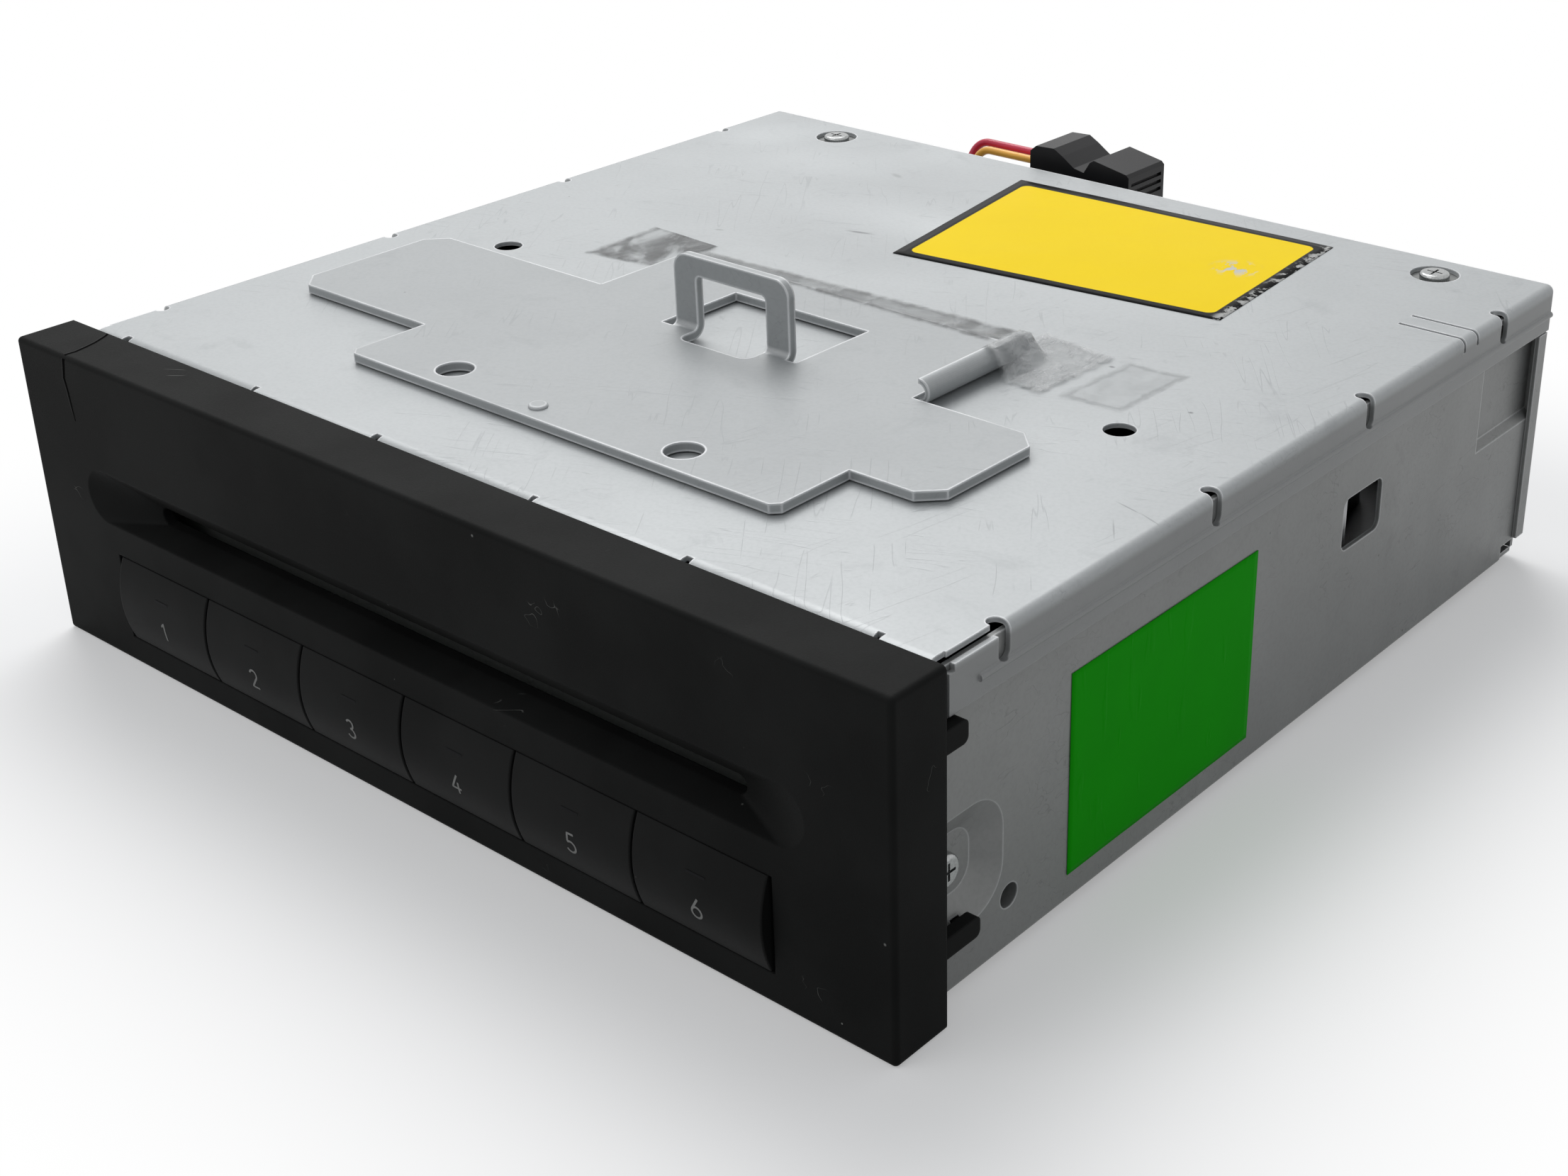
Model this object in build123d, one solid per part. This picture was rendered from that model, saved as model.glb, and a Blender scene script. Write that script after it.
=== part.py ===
from build123d import *
import os
from math import acos, cos, pi, radians, sin, tan

os.makedirs("parts", exist_ok=True)

# Build frame: X to the right seen from the front, Y from the front panel's face to the rear,
# Z up from the lowest edge of the front panel.  export() moves the origin to the middle of the
# whole part's footprint, on the surface that it stands on.

# ---------------------------------------------------------------- driving sizes, millimetres
# Front panel
panel_width = 184.8
panel_height = 53.35
panel_depth = 10.1
panel_wall = 2.0
panel_edge_radius = 0.8
panel_overhang = 2.4
panel_rib_count = 5
panel_rib_pitch = 31.0
panel_rib_gauge = 1.2

# Disc slot and the scooped recess that leads into it
slot_length = 128.6
slot_height = 3.0
slot_z = 28.1
recess_end_margin = 14.3
recess_height = 9.2
recess_z = 30.1
recess_depth = 4.45
funnel_wall = 1.8

# Buttons
button_count = 6
button_row_margin = 20.7
button_gap = 0.4
button_end_gap = 0.7
button_height = 14.8
button_z = 12.6
button_bulge = 1.55
button_depth = 4.4
button_wall = 1.2
button_travel = 0.5
button_rim = 1.3
button_rim_depth = 5.0
plunger_radius = 1.6
plunger_end = 6.1

# Switch board behind the buttons
switch_stem_gap = 0.05
switch_height = 1.95
switch_size = 6.0
switch_stem_radius = 1.2
switch_stem_height = 0.5
board_gauge = 1.2
switch_board_margin = 12.4
switch_board_height = 19.4
switch_boss_inset = 3.0
switch_boss_rise = 6.2
boss_radius = 2.2

# Sheet-metal case
case_bottom = 1.15
case_top = 51.9
case_rear = 179.2
panel_to_case = 0.5
sheet = 0.8
bend_radius = 1.3
seam = 0.05
foot_radius = 5.0
foot_inset_x = 22.0
foot_front_y = 40.0
foot_rear_y = 160.0

# Lid
lid_flange_depth = 8.1
lid_front_bend = 2.6
lid_front_flange = 4.2
lid_bead_radius = 0.55
lid_bead_z = 46.6
lid_bead_front = 19.5
lid_hole_x = 67.0
lid_hole_y = 82.5
lid_hole_radius = 2.5
bend_notch_ys = (73.0, 116.0, 161.0)
bend_notch_width = 2.4
bend_notch_reach = 2.7
bend_notch_depth = 5.0
corner_notch_y = 24.5
tension_slit_ys = (146.8, 151.3)
tension_slit_width = 0.7
tension_slit_length = 12.0
hem_left_margin = 7.3
hem_left_end = -46.6
hem_middle = (-17.0, 17.0)
hem_right_start = 46.8
hem_right_margin = 8.8
hem_notch = 1.2

# Case side details
dish_y = 16.9
dish_z = 19.1
dish_half = 8.9
dish_corner = 6.4
dish_floor_half = 4.7
dish_floor_corner = 3.4
dish_depth = 2.4
side_screw_y = 15.7
side_screw_z = 19.3
side_screw_radius = 1.2
side_screw_head_radius = 2.5
side_screw_head_height = 1.5
side_hole_y = 27.2
side_hole_z = 9.9
side_hole_radius = 1.85
side_hole_rim = 1.2
side_window_y = (111.8, 123.8)
side_window_z = (27.0, 35.9)
side_window_radius = 1.6
corner_pan_front = 157.0
corner_pan_z = (28.0, 49.6)
corner_pan_depth = 1.3
rear_notch_y = 172.0
rear_notch_height = 3.4

# Clip tabs that hold the front panel on the case
clip_gauge = 1.75
clip_upper_z = (39.6, 43.1)
clip_upper_reach = 16.1
clip_lower_z = (9.3, 12.5)
clip_lower_reach = 18.7
clip_barb = 0.9
clip_barb_length = 1.6
clip_clearance = 0.1

# Rear panel, its screws and tabs
rear_gauge = 0.8
rear_flange_length = 2.8
rear_screw_radius = 1.4
rear_screw_head_radius = 2.6
rear_screw_head_height = 1.3
rear_tab_length = 14.0
rear_tab_width = 15.0
lid_screw_margins = (23.9, 18.6)
lid_screw_length = 4.0
rear_screw_length = 3.0
lid_screw_y = 171.8
lid_screw_cutout_radius = 4.2
vent_count = 9
vent_pitch = 4.0
vent_width = 1.6
vent_height = 12.0
vent_x = 44.0
vent_z = 30.0

# Mounting plate with the bent-up loop
plate_gauge = 1.5
plate_gap = 0.3
plate_front = 29.0
plate_wing_front = 44.2
plate_wing_rear_left = 75.5
plate_wing_rear_right = 69.7
plate_rear = 96.6
plate_left = -77.8
plate_tongue_left = -43.8
plate_tongue_right = 47.8
plate_right = 62.7
plate_tail_left = -35.2
plate_tail_right = 38.3
plate_corner = 1.3
plate_wing_corner = 3.4
plate_hole_spacing = 49.7
plate_hole_x = 0.15
plate_hole_y = 34.6
plate_hole_radius = 3.0
plate_pad_radius = 3.0
plate_pad_places = ((-70, 52), (-70, 69), (54, 50), (-30, 84), (30, 84), (-34, 38), (38, 38))
rivet_x = -3.3
rivet_y = 32.5
rivet_radius = 1.5
rivet_height = 0.5
loop_left = -11.8
loop_right = 13.1
loop_leg_width = 4.9
loop_bar_height = 3.3
loop_height = 12.4
loop_front = 70.2
loop_bend = 1.0
loop_outer_radius = 2.8
loop_inner_radius = 0.9
loop_window_left = -14.1
loop_window_right = 15.1
loop_window_rear = 86.6
loop_relief_front = 65.3
curl_radius = 2.1
curl_front = 71.0
curl_rear = 96.2

# Connector at the rear on its bracket, with its wires
connector_x = (-24.5, -0.6)
connector_front = 183.5
connector_depth = 12.5
connector_base_z = 40.0
connector_left_top = 55.0
connector_dip = 51.6
connector_right_top = 54.5
connector_right_low = 53.0
connector_wall = 1.4
bracket_x = (-21.5, -4.0)
bracket_z = (36.0, 47.5)
bracket_gauge = 1.0
wire_radius = 0.8
wire_bend = 3.4
wire_rise_start = 5.0
wire_lean = 3.0
wire_pitch = 2.1
wire_exit_x = -44.0
wire_exit_z = 42.0
wire_entry_z = 50.9
wire_entry_y = 188.5
grommet_radius = 3.6
grommet_flange = 1.2

# Optical socket at the rear edge of the main board
socket_edge_gap = 13.0
socket_width = 26.0
socket_height = 11.0
socket_depth = 11.0
socket_wall = 1.5
socket_bore_radius = 2.6
socket_bore_pitch = 10.0
socket_notch = 1.0

# Main board
main_board_gauge = 1.6
main_board_gap = 1.45
main_board_side_gap = 1.6
main_board_front = 24.0
main_board_rear = 172.0
standoff_radius = 3.0
chip_height = 1.3
chips = (
    (-30.0, 92.0, 16.0, 16.0), (6.0, 84.0, 12.0, 12.0), (28.0, 112.0, 14.0, 10.0),
    (-20.0, 122.0, 10.0, 18.0), (-34.0, 62.0, 8.0, 12.0), (12.0, 128.0, 9.0, 9.0),
)
inner_screw_radius = 1.0
inner_screw_head_radius = 2.0
inner_screw_head_height = 0.8

# Mechanism frame
disc_radius = 60.0
disc_thickness = 1.2
disc_y = 104.0
frame_z = 8.4
frame_gauge = 0.8
frame_side_gap = 6.35
frame_front = 19.0
frame_rear = 173.5
frame_wall_front = 46.0
frame_wall_rear = 166.0
bridge_z = 42.6
bridge_front = 60.0
bridge_opening = 52.0
damper_radius = 4.4
damper_inset = 6.0
damper_ys = (29.0, 160.0)
lock_tab_y = (115.8, 118.0)
lock_tab_reach = 4.4

# Tray stack and its lift
tray_count = 6
tray_pitch = 2.4
tray_gauge = 0.8
tray_ledge = 5.5
tray_rim = 1.6
tray_rim_height = 0.8
tray_slack = 2.5
tray_mouth_angle = 70.0
tray_ear_radius = 5.0
gear_module = 0.6
ring_teeth = 200
ring_inner_radius = 55.5
ring_gauge = 1.2
ring_gap = 0.3
spindle_teeth = 16
spindle_radius = 2.6
spindle_gear_gauge = 1.4
idler_teeth = 30
lift_pinion_teeth = 10
lift_motor_radius = 8.0
lift_motor_height = 15.0
lift_train_angle = 45.0
running_gap = 0.08
ring_guide_radius = 2.2
ring_guide_head = 3.4

# Front frame and dust flap
guide_frame_gauge = 4.9
guide_frame_side_gap = 2.65
guide_frame_z = (14.0, 38.0)
guide_slot_half = 65.5
guide_slot_z = (24.6, 32.0)
flap_pivot_z = 33.2
flap_pivot_radius = 0.9
flap_barrel_radius = 1.4
flap_gauge = 0.9
flap_drop = 6.6
flap_side_gap = 0.5
flap_ear_gauge = 2.4

# Loading roller and its drive
roller_y = 26.0
roller_radius = 4.0
roller_waist = 3.5
roller_length = 56.0
roller_middle_gap = 8.0
roller_shaft_radius = 1.5
roller_nip = 0.1
roller_bracket_x = 66.0
roller_bracket_gauge = 1.0
roller_gear_teeth = 24
roller_gear_x = 71.0
roller_gear_gauge = 3.0
load_pinion_teeth = 10
load_motor_radius = 5.0
load_motor_length = 18.0
load_motor_drop_angle = 60.0
guide_bar_gauge = 2.0
guide_bar_front = 25.4
guide_bar_rear = 33.0
disc_headroom = 0.5

# Traverse: turntable, pickup and sled drive, laid out along its own U axis (towards the front)
traverse_z = 9.8
traverse_gauge = 0.8
traverse_u = (-24.0, 80.0)
traverse_v = (-27.0, 37.0)
traverse_window_u = (17.0, 74.0)
traverse_window_v = (-13.0, 13.0)
bush_radius = 2.6
spindle_motor_radius = 10.5
spindle_motor_height = 2.0
turntable_radius = 14.5
turntable_gauge = 1.6
turntable_boss_radius = 7.4
turntable_boss_height = 1.4
turntable_shaft_radius = 1.0
turntable_gap = 0.2
rod_radius = 1.0
rod_v = 17.0
rod_lift = 1.6
rod_u = (12.5, 78.5)
rod_post = 3.0
pickup_u = (22.0, 40.0)
pickup_half_v = 19.5
pickup_base_gap = 0.2
pickup_height = 2.9
lens_radius = 2.8
lens_height = 0.4
lens_u = 27.5
sled_module = 0.5
sled_teeth = 12
sled_wheel_teeth = 30
sled_pinion_teeth = 10
sled_travel_teeth = 20
rack_v = 25.0
rack_gauge = 1.2
rack_back = 1.6
sled_gear_u = 46.0
sled_post_radius = 1.0
sled_motor_radius = 5.4
sled_shaft_radius = 0.7

# ---------------------------------------------------------------- sizes that follow from them
recess_length = panel_width - 2 * recess_end_margin
button_pitch = (panel_width - 2 * button_row_margin) / button_count
button_row = button_count * button_pitch - button_gap
row_half = button_row / 2 + button_end_gap
button_low = button_z - button_height / 2
button_high = button_z + button_height / 2
switch_front = plunger_end + button_travel + switch_stem_gap
switch_board_front = switch_front + switch_stem_height + switch_height
switch_board_half = panel_width / 2 - switch_board_margin
switch_boss_x = switch_board_half - switch_boss_inset
case_front = panel_depth + panel_to_case
case_half = panel_width / 2 - panel_overhang
wall_outer = case_half - sheet - seam
wall_inner = wall_outer - sheet
floor_top = case_bottom + sheet
lid_edge = wall_inner - seam
lid_screw_x = (lid_screw_margins[0] - case_half, case_half - lid_screw_margins[1])
hem_segments = (
    (hem_left_margin - lid_edge, hem_left_end),
    hem_middle,
    (hem_right_start, lid_edge - hem_right_margin),
)
lid_under = case_top - sheet
lid_flange_low = case_top - lid_flange_depth
wall_top = case_top - bend_radius - seam
rear_outer = case_rear - 0.4
rear_inner = rear_outer - rear_gauge
plate_low = case_top + plate_gap
plate_top = plate_low + plate_gauge
part_rear = connector_front + connector_depth
part_front = -button_bulge
origin_y = (part_rear + part_front) / 2
board_low = floor_top + main_board_gap
board_top = board_low + main_board_gauge
load_motor_x = (roller_bracket_x - 2 - load_motor_length, roller_bracket_x - 2)
frame_top = frame_z + frame_gauge
frame_half = wall_inner - frame_side_gap
damper_x = frame_half - damper_inset
main_board_half = damper_x - damper_radius - main_board_side_gap
socket_x = (socket_edge_gap - main_board_half, socket_edge_gap + socket_width - main_board_half)
guide_frame_half = wall_inner - guide_frame_side_gap
flap_half = guide_slot_half - flap_side_gap
ring_top = frame_z - ring_gap
ring_low = ring_top - ring_gauge
ring_pitch_radius = gear_module * ring_teeth / 2
spindle_pitch_radius = gear_module * spindle_teeth / 2
spindle_distance = ring_pitch_radius + spindle_pitch_radius
spindle_places = (
    (-spindle_distance, disc_y),
    (spindle_distance, disc_y),
    (0.0, disc_y + spindle_distance),
)
idler_distance = ring_pitch_radius + gear_module * idler_teeth / 2
lift_pinion_distance = idler_distance + gear_module * (idler_teeth + lift_pinion_teeth) / 2
tray_travel = (tray_count - 1) * tray_pitch
top_tray_low = slot_z - disc_thickness / 2 - tray_gauge
tray_outer = disc_radius + tray_slack
roller_z = slot_z - disc_thickness / 2 - roller_nip - roller_radius
guide_bar_low = slot_z + disc_thickness / 2 + disc_headroom
load_distance = gear_module * (roller_gear_teeth + load_pinion_teeth) / 2
load_y = roller_y + load_distance * cos(radians(load_motor_drop_angle))
load_z = roller_z - load_distance * sin(radians(load_motor_drop_angle))
guide_frame_front = case_front + sheet + seam
guide_frame_rear = guide_frame_front + guide_frame_gauge
flap_y = guide_frame_rear + flap_barrel_radius + 0.2
traverse_top = traverse_z + traverse_gauge
rod_z = traverse_top + rod_lift
pickup_low = traverse_top + pickup_base_gap
sled_gear_v = rack_v + sled_module * sled_teeth / 2
sled_motor_flat = sled_gear_v - rack_v - 0.95 * sled_module - 0.25
sled_motor_u = sled_gear_u + sled_module * (sled_wheel_teeth + sled_pinion_teeth) / 2
rack_low = pickup_low + 0.4
wheel_low = rack_low + rack_gauge + 0.4
sled_travel = sled_travel_teeth * pi * sled_module
fit_overlap = 0.2


# ---------------------------------------------------------------- shape helpers
def block(x, y, z):
    """A box between two limits along each axis."""
    size = (x[1] - x[0], y[1] - y[0], z[1] - z[0])
    return Pos((x[0] + x[1]) / 2, (y[0] + y[1]) / 2, (z[0] + z[1]) / 2) * Box(*size)


def rod_x(radius, x, y, z):
    """A round bar along X, between the two limits in x."""
    return Pos((x[0] + x[1]) / 2, y, z) * Rot(0, 90, 0) * Cylinder(radius, x[1] - x[0])


def rod_y(radius, x, y, z):
    """A round bar along Y, between the two limits in y."""
    return Pos(x, (y[0] + y[1]) / 2, z) * Rot(90, 0, 0) * Cylinder(radius, y[1] - y[0])


def rod_z_axis(radius, x, y, z):
    """A round bar along Z, between the two limits in z."""
    return Pos(x, y, (z[0] + z[1]) / 2) * Cylinder(radius, z[1] - z[0])


def prism_x(face, x):
    """A (y, z) face extruded along X between two limits."""
    plane = Plane(origin=(x[0], 0, 0), x_dir=(0, 1, 0), z_dir=(1, 0, 0))
    return extrude(plane * face, amount=x[1] - x[0])


def prism_y(face, y):
    """An (x, z) face extruded along Y between two limits."""
    plane = Plane(origin=(0, y[1], 0), x_dir=(1, 0, 0), z_dir=(0, -1, 0))
    return extrude(plane * face, amount=y[1] - y[0])


def prism_z(face, z):
    """An (x, y) face extruded along Z between two limits."""
    return extrude(Plane.XY.offset(z[0]) * face, amount=z[1] - z[0])


def polygon(*points):
    """A plane face from its corners."""
    return make_face(Polyline(*points, close=True))


def channel(half_width, z_closed, z_open, gauge, bend):
    """The (x, z) section of a sheet bent into a U: its web at z_closed, its legs up to z_open."""
    side = 1 if z_open > z_closed else -1

    def outline(inset, radius):
        reach = half_width - inset
        web = z_closed + side * inset
        points = ((-reach, z_open), (-reach, web), (reach, web), (reach, z_open))
        path = FilletPolyline(*points, radius=radius)
        return make_face(path.edges() + Line(points[3], points[0]).edges())

    return outline(0, bend) - outline(gauge, bend - gauge)


def mirrored(solid):
    """The solid with its copy on the other side of the middle plane."""
    return solid + mirror(solid, Plane.YZ)


def involute_half_angle(radius, teeth, module, backlash):
    """Half of a tooth's angle at a radius, from the pitch circle's tooth width and the involute."""
    pitch_radius = module * teeth / 2
    pressure = radians(20)
    base_radius = pitch_radius * cos(pressure)
    at = max(radius, base_radius)
    angle = acos(base_radius / at)
    drop = (tan(pressure) - pressure) - (tan(angle) - angle)
    return (pi * module / 2 - backlash) / (2 * pitch_radius) + drop


def gear_face(teeth, module, first_angle=0.0, backlash=0.12):
    """A spur gear's outline; tooth 0 is centred on first_angle, in degrees."""
    pitch_radius = module * teeth / 2
    root = pitch_radius - 1.25 * module
    tip = pitch_radius + 0.95 * module
    levels = (root, pitch_radius, tip)
    points = []
    half = [involute_half_angle(r, teeth, module, backlash) for r in levels]
    for number in range(teeth):
        middle = radians(first_angle) + 2 * pi * number / teeth
        points += [(r * cos(middle - h), r * sin(middle - h)) for r, h in zip(levels, half)]
        points += [
            (r * cos(middle + h), r * sin(middle + h))
            for r, h in zip(reversed(levels), reversed(half))
        ]
    return polygon(*points)


def rack_face(u, v_pitch, module, back, tooth_at):
    """A rack's outline in (u, v), its teeth pointing to +v, with one tooth centred on tooth_at."""
    pitch = pi * module
    low = v_pitch - 1.25 * module
    high = v_pitch + 0.95 * module
    root_half = pitch / 4 - 0.06 + 1.25 * module * tan(radians(20))
    tip_half = pitch / 4 - 0.06 - 0.95 * module * tan(radians(20))
    first = int((u[0] + root_half - tooth_at) / pitch) - 1
    points = [(u[0], low - back), (u[0], low)]
    for number in range(first, first + int((u[1] - u[0]) / pitch) + 3):
        middle = tooth_at + number * pitch
        if middle - root_half <= u[0] or middle + root_half >= u[1]:
            continue
        points += [(middle - root_half, low), (middle - tip_half, high)]
        points += [(middle + tip_half, high), (middle + root_half, low)]
    points += [(u[1], low), (u[1], low - back)]
    return polygon(*points)


def pan_screw(head_radius, head_height, shank_radius, shank_length):
    """A pan-head screw standing on z = 0, its cross recess on top and its shank below."""
    head = Pos(0, 0, head_height / 2) * Cylinder(head_radius, head_height)
    head = fillet(head.edges().sort_by(Axis.Z)[-1], head_height * 0.45)
    arm = head_radius * 1.1
    slot = head_height * 0.9
    head -= Pos(0, 0, head_height) * (Box(arm, slot * 0.35, slot) + Box(slot * 0.35, arm, slot))
    return head + Pos(0, 0, -shank_length / 2) * Cylinder(shank_radius, shank_length)


def group(parts):
    """Several separate solids kept together as one piece."""
    return Compound([solid for part in parts for solid in part.solids()])


pieces = {}


def keep(name, solid):
    """Collects a finished piece under the name of its file."""
    pieces[name] = solid


# ---------------------------------------------------------------- front panel
def front_panel():
    """Hollow moulded panel with the scooped disc slot, the button opening and the clip tabs."""
    half = panel_width / 2
    shell = block((-half, half), (0, panel_depth), (0, panel_height))
    front_edges = shell.faces().sort_by(Axis.Y)[0].edges()
    corner_edges = shell.edges().filter_by(Axis.Y)
    shell = fillet(front_edges + corner_edges, panel_edge_radius)
    inner = (-half + panel_wall, half - panel_wall)
    shell -= block(inner, (panel_wall, panel_depth + 1), (panel_wall, panel_height - panel_wall))
    # funnel block that carries the recess and the slot
    reach = recess_length / 2 + funnel_wall
    low = recess_z - recess_height / 2 - funnel_wall
    high = recess_z + recess_height / 2 + funnel_wall
    shell += block((-reach, reach), (panel_wall - 1, recess_depth + funnel_wall), (low, high))
    mouth = Plane(origin=(0, 0, recess_z), x_dir=(1, 0, 0), z_dir=(0, -1, 0))
    throat = Plane(origin=(0, recess_depth, slot_z), x_dir=(1, 0, 0), z_dir=(0, -1, 0))
    scoop = loft(
        [
            mouth * SlotOverall(recess_length, recess_height),
            throat * SlotOverall(slot_length, slot_height),
        ],
        ruled=True,
    )
    shell -= scoop
    slot_end = recess_depth + funnel_wall + 1
    shell -= prism_y(Pos(0, slot_z) * SlotOverall(slot_length, slot_height), (recess_depth - 0.5, slot_end))
    # guide rim behind the button opening
    rim_half = row_half + button_rim
    rim_low = button_low - button_gap / 2
    rim_high = button_high + button_gap / 2
    shell += block(
        (-rim_half, rim_half),
        (panel_wall - 1, button_rim_depth),
        (rim_low - button_rim, rim_high + button_rim),
    )
    shell -= block((-row_half, row_half), (-1, button_rim_depth + 1), (rim_low, rim_high))
    # bosses for the switch board
    for x in (-switch_boss_x, switch_boss_x):
        for z in (button_z - switch_boss_rise, button_z + switch_boss_rise):
            shell += rod_y(boss_radius, x, (panel_wall - 1, switch_board_front), z)
            shell -= rod_y(inner_screw_radius + 0.03, x, (panel_wall + 0.6, panel_depth), z)
    # clip tabs, their barbs and the stiffening ribs of the shell
    tab_x = (wall_outer + clip_clearance, wall_outer + clip_clearance + clip_gauge)
    for z, reach in ((clip_upper_z, clip_upper_reach), (clip_lower_z, clip_lower_reach)):
        tab = block(tab_x, (panel_depth - 3, reach), z)
        tab = fillet(tab.edges().filter_by(Axis.X).group_by(Axis.Y)[-1], 1.0)
        barb_end = reach - 1.2
        barb = block(
            (tab_x[0] - clip_barb, tab_x[0]),
            (barb_end - clip_barb_length, barb_end),
            (z[0] + 0.8, z[1] - 0.8),
        )
        shell += mirrored(tab + barb)
    for i in range(panel_rib_count):
        x = (i - (panel_rib_count - 1) / 2) * panel_rib_pitch
        rib_x = (x - panel_rib_gauge / 2, x + panel_rib_gauge / 2)
        shell += block(rib_x, (panel_wall - 0.5, panel_depth - 2), (high, panel_height - 1))
    return shell


def button():
    """One hollow key with its bulged face and the plunger that works the switch, centred on x = 0."""
    half = (button_pitch - button_gap) / 2
    low = button_low
    high = button_high
    crown = ThreePointArc((0, high), (-button_bulge, button_z), (0, low))
    skirt = Polyline((0, low), (button_depth, low), (button_depth, high), (0, high))
    body = prism_x(make_face(crown.edges() + skirt.edges()), (-half, half))
    body = fillet(body.edges().filter_by(GeomType.CIRCLE), 0.25)
    inside = (-half + button_wall, half - button_wall)
    body -= block(inside, (button_wall, button_depth + 1), (low + button_wall, high - button_wall))
    body += rod_y(plunger_radius, 0, (button_wall - 0.5, plunger_end), button_z)
    for z in (button_z - 4.5, button_z + 4.5):
        body += block(inside, (button_wall - 0.5, button_depth - 1), (z - 0.4, z + 0.4))
    return body


def button_centres():
    """The x of each key's middle, from left to right."""
    return [(i - (button_count - 1) / 2) * button_pitch for i in range(button_count)]


def switch_board():
    """Circuit board behind the keys, on the panel's four bosses."""
    half = switch_board_half
    low = button_z - switch_board_height / 2
    high = button_z + switch_board_height / 2
    y = (switch_board_front, switch_board_front + board_gauge)
    board = block((-half, half), y, (low, high))
    for x in (-switch_boss_x, switch_boss_x):
        for z in (button_z - switch_boss_rise, button_z + switch_boss_rise):
            board -= rod_y(inner_screw_radius + 0.1, x, (y[0] - 1, y[1] + 1), z)
    return board


def tact_switches():
    """Six small push switches on the switch board, each with its stem behind a key's plunger."""
    solids = []
    base = switch_board_front
    for x in button_centres():
        half = switch_size / 2
        can = block((x - half, x + half), (base - switch_height, base), (button_z - half, button_z + half))
        stem_y = (switch_front, base - switch_height + fit_overlap)
        solids.append(can + rod_y(switch_stem_radius, x, stem_y, button_z))
    return group(solids)


# ---------------------------------------------------------------- sheet-metal case
def drawn_dish(grow):
    """The dish as a plug that narrows inwards from its mouth in the right wall."""
    more = sheet * 0.5 if grow else 0
    depth = dish_depth + (sheet if grow else 0)
    ends = (
        (wall_outer, dish_half, dish_corner),
        (wall_outer - depth, dish_floor_half, dish_floor_corner),
    )
    faces = []
    for x, half, corner in ends:
        plane = Plane(origin=(x, dish_y, dish_z), x_dir=(0, 1, 0), z_dir=(1, 0, 0))
        side = 2 * (half + more)
        faces.append(plane * RectangleRounded(side, side, corner + more))
    return loft(faces, ruled=True)


def side_details_cut(tray):
    """Holes, windows, dish, corner pan and notches of the two side walls."""
    # dish with the screw that holds the front frame
    shape = drawn_dish(True) - drawn_dish(False)
    shape &= block((0, case_half), (case_front, case_rear), (0, case_top))
    tray -= mirrored(drawn_dish(False))
    tray += mirrored(shape)
    hole_x = (wall_inner - dish_depth - 1, wall_outer)
    tray -= mirrored(rod_x(side_screw_radius + 0.1, hole_x, side_screw_y, side_screw_z))
    # extruded mounting hole
    rim_x = (wall_inner - side_hole_rim, wall_inner + fit_overlap)
    tray += mirrored(rod_x(side_hole_radius + 0.7, rim_x, side_hole_y, side_hole_z))
    cut_x = (rim_x[0] - 1, wall_outer + 1)
    tray -= mirrored(rod_x(side_hole_radius, cut_x, side_hole_y, side_hole_z))
    # window with the transport lock tab behind it
    centre = ((side_window_y[0] + side_window_y[1]) / 2, (side_window_z[0] + side_window_z[1]) / 2)
    size = (side_window_y[1] - side_window_y[0], side_window_z[1] - side_window_z[0])
    window = Pos(*centre) * RectangleRounded(*size, side_window_radius)
    tray -= prism_x(window, (wall_inner - 1, wall_outer + 1))
    # drawn pan at the rear upper corner, its lower ledge sloping
    outer = polygon(
        (wall_outer, corner_pan_z[0]),
        (wall_outer, corner_pan_z[1]),
        (wall_outer - corner_pan_depth, corner_pan_z[1] - corner_pan_depth),
        (wall_outer - corner_pan_depth, corner_pan_z[0] + corner_pan_depth),
    )
    inner = polygon(
        (wall_outer - sheet, corner_pan_z[0] - sheet * 0.5),
        (wall_outer - sheet, corner_pan_z[1] + sheet * 0.5),
        (wall_outer - sheet - corner_pan_depth, corner_pan_z[1] - corner_pan_depth),
        (wall_outer - sheet - corner_pan_depth, corner_pan_z[0] + corner_pan_depth),
    )
    tray += mirrored(prism_y(inner, (corner_pan_front - sheet, rear_inner)))
    tray -= mirrored(prism_y(outer, (corner_pan_front, case_rear)))
    # notch at the foot of each rear corner and clip holes at the front
    notch_z = (0, case_bottom + rear_notch_height)
    tray -= mirrored(block((wall_inner - 0.1, case_half), (rear_notch_y, case_rear), notch_z))
    for z, reach in ((clip_upper_z, clip_upper_reach), (clip_lower_z, clip_lower_reach)):
        end = reach - 1.2
        tray -= mirrored(
            block(
                (wall_inner - 1, wall_outer + 1),
                (end - clip_barb_length - clip_clearance, end + clip_clearance),
                (z[0] + 0.8 - clip_clearance, z[1] - 0.8 + clip_clearance),
            )
        )
    return tray


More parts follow.
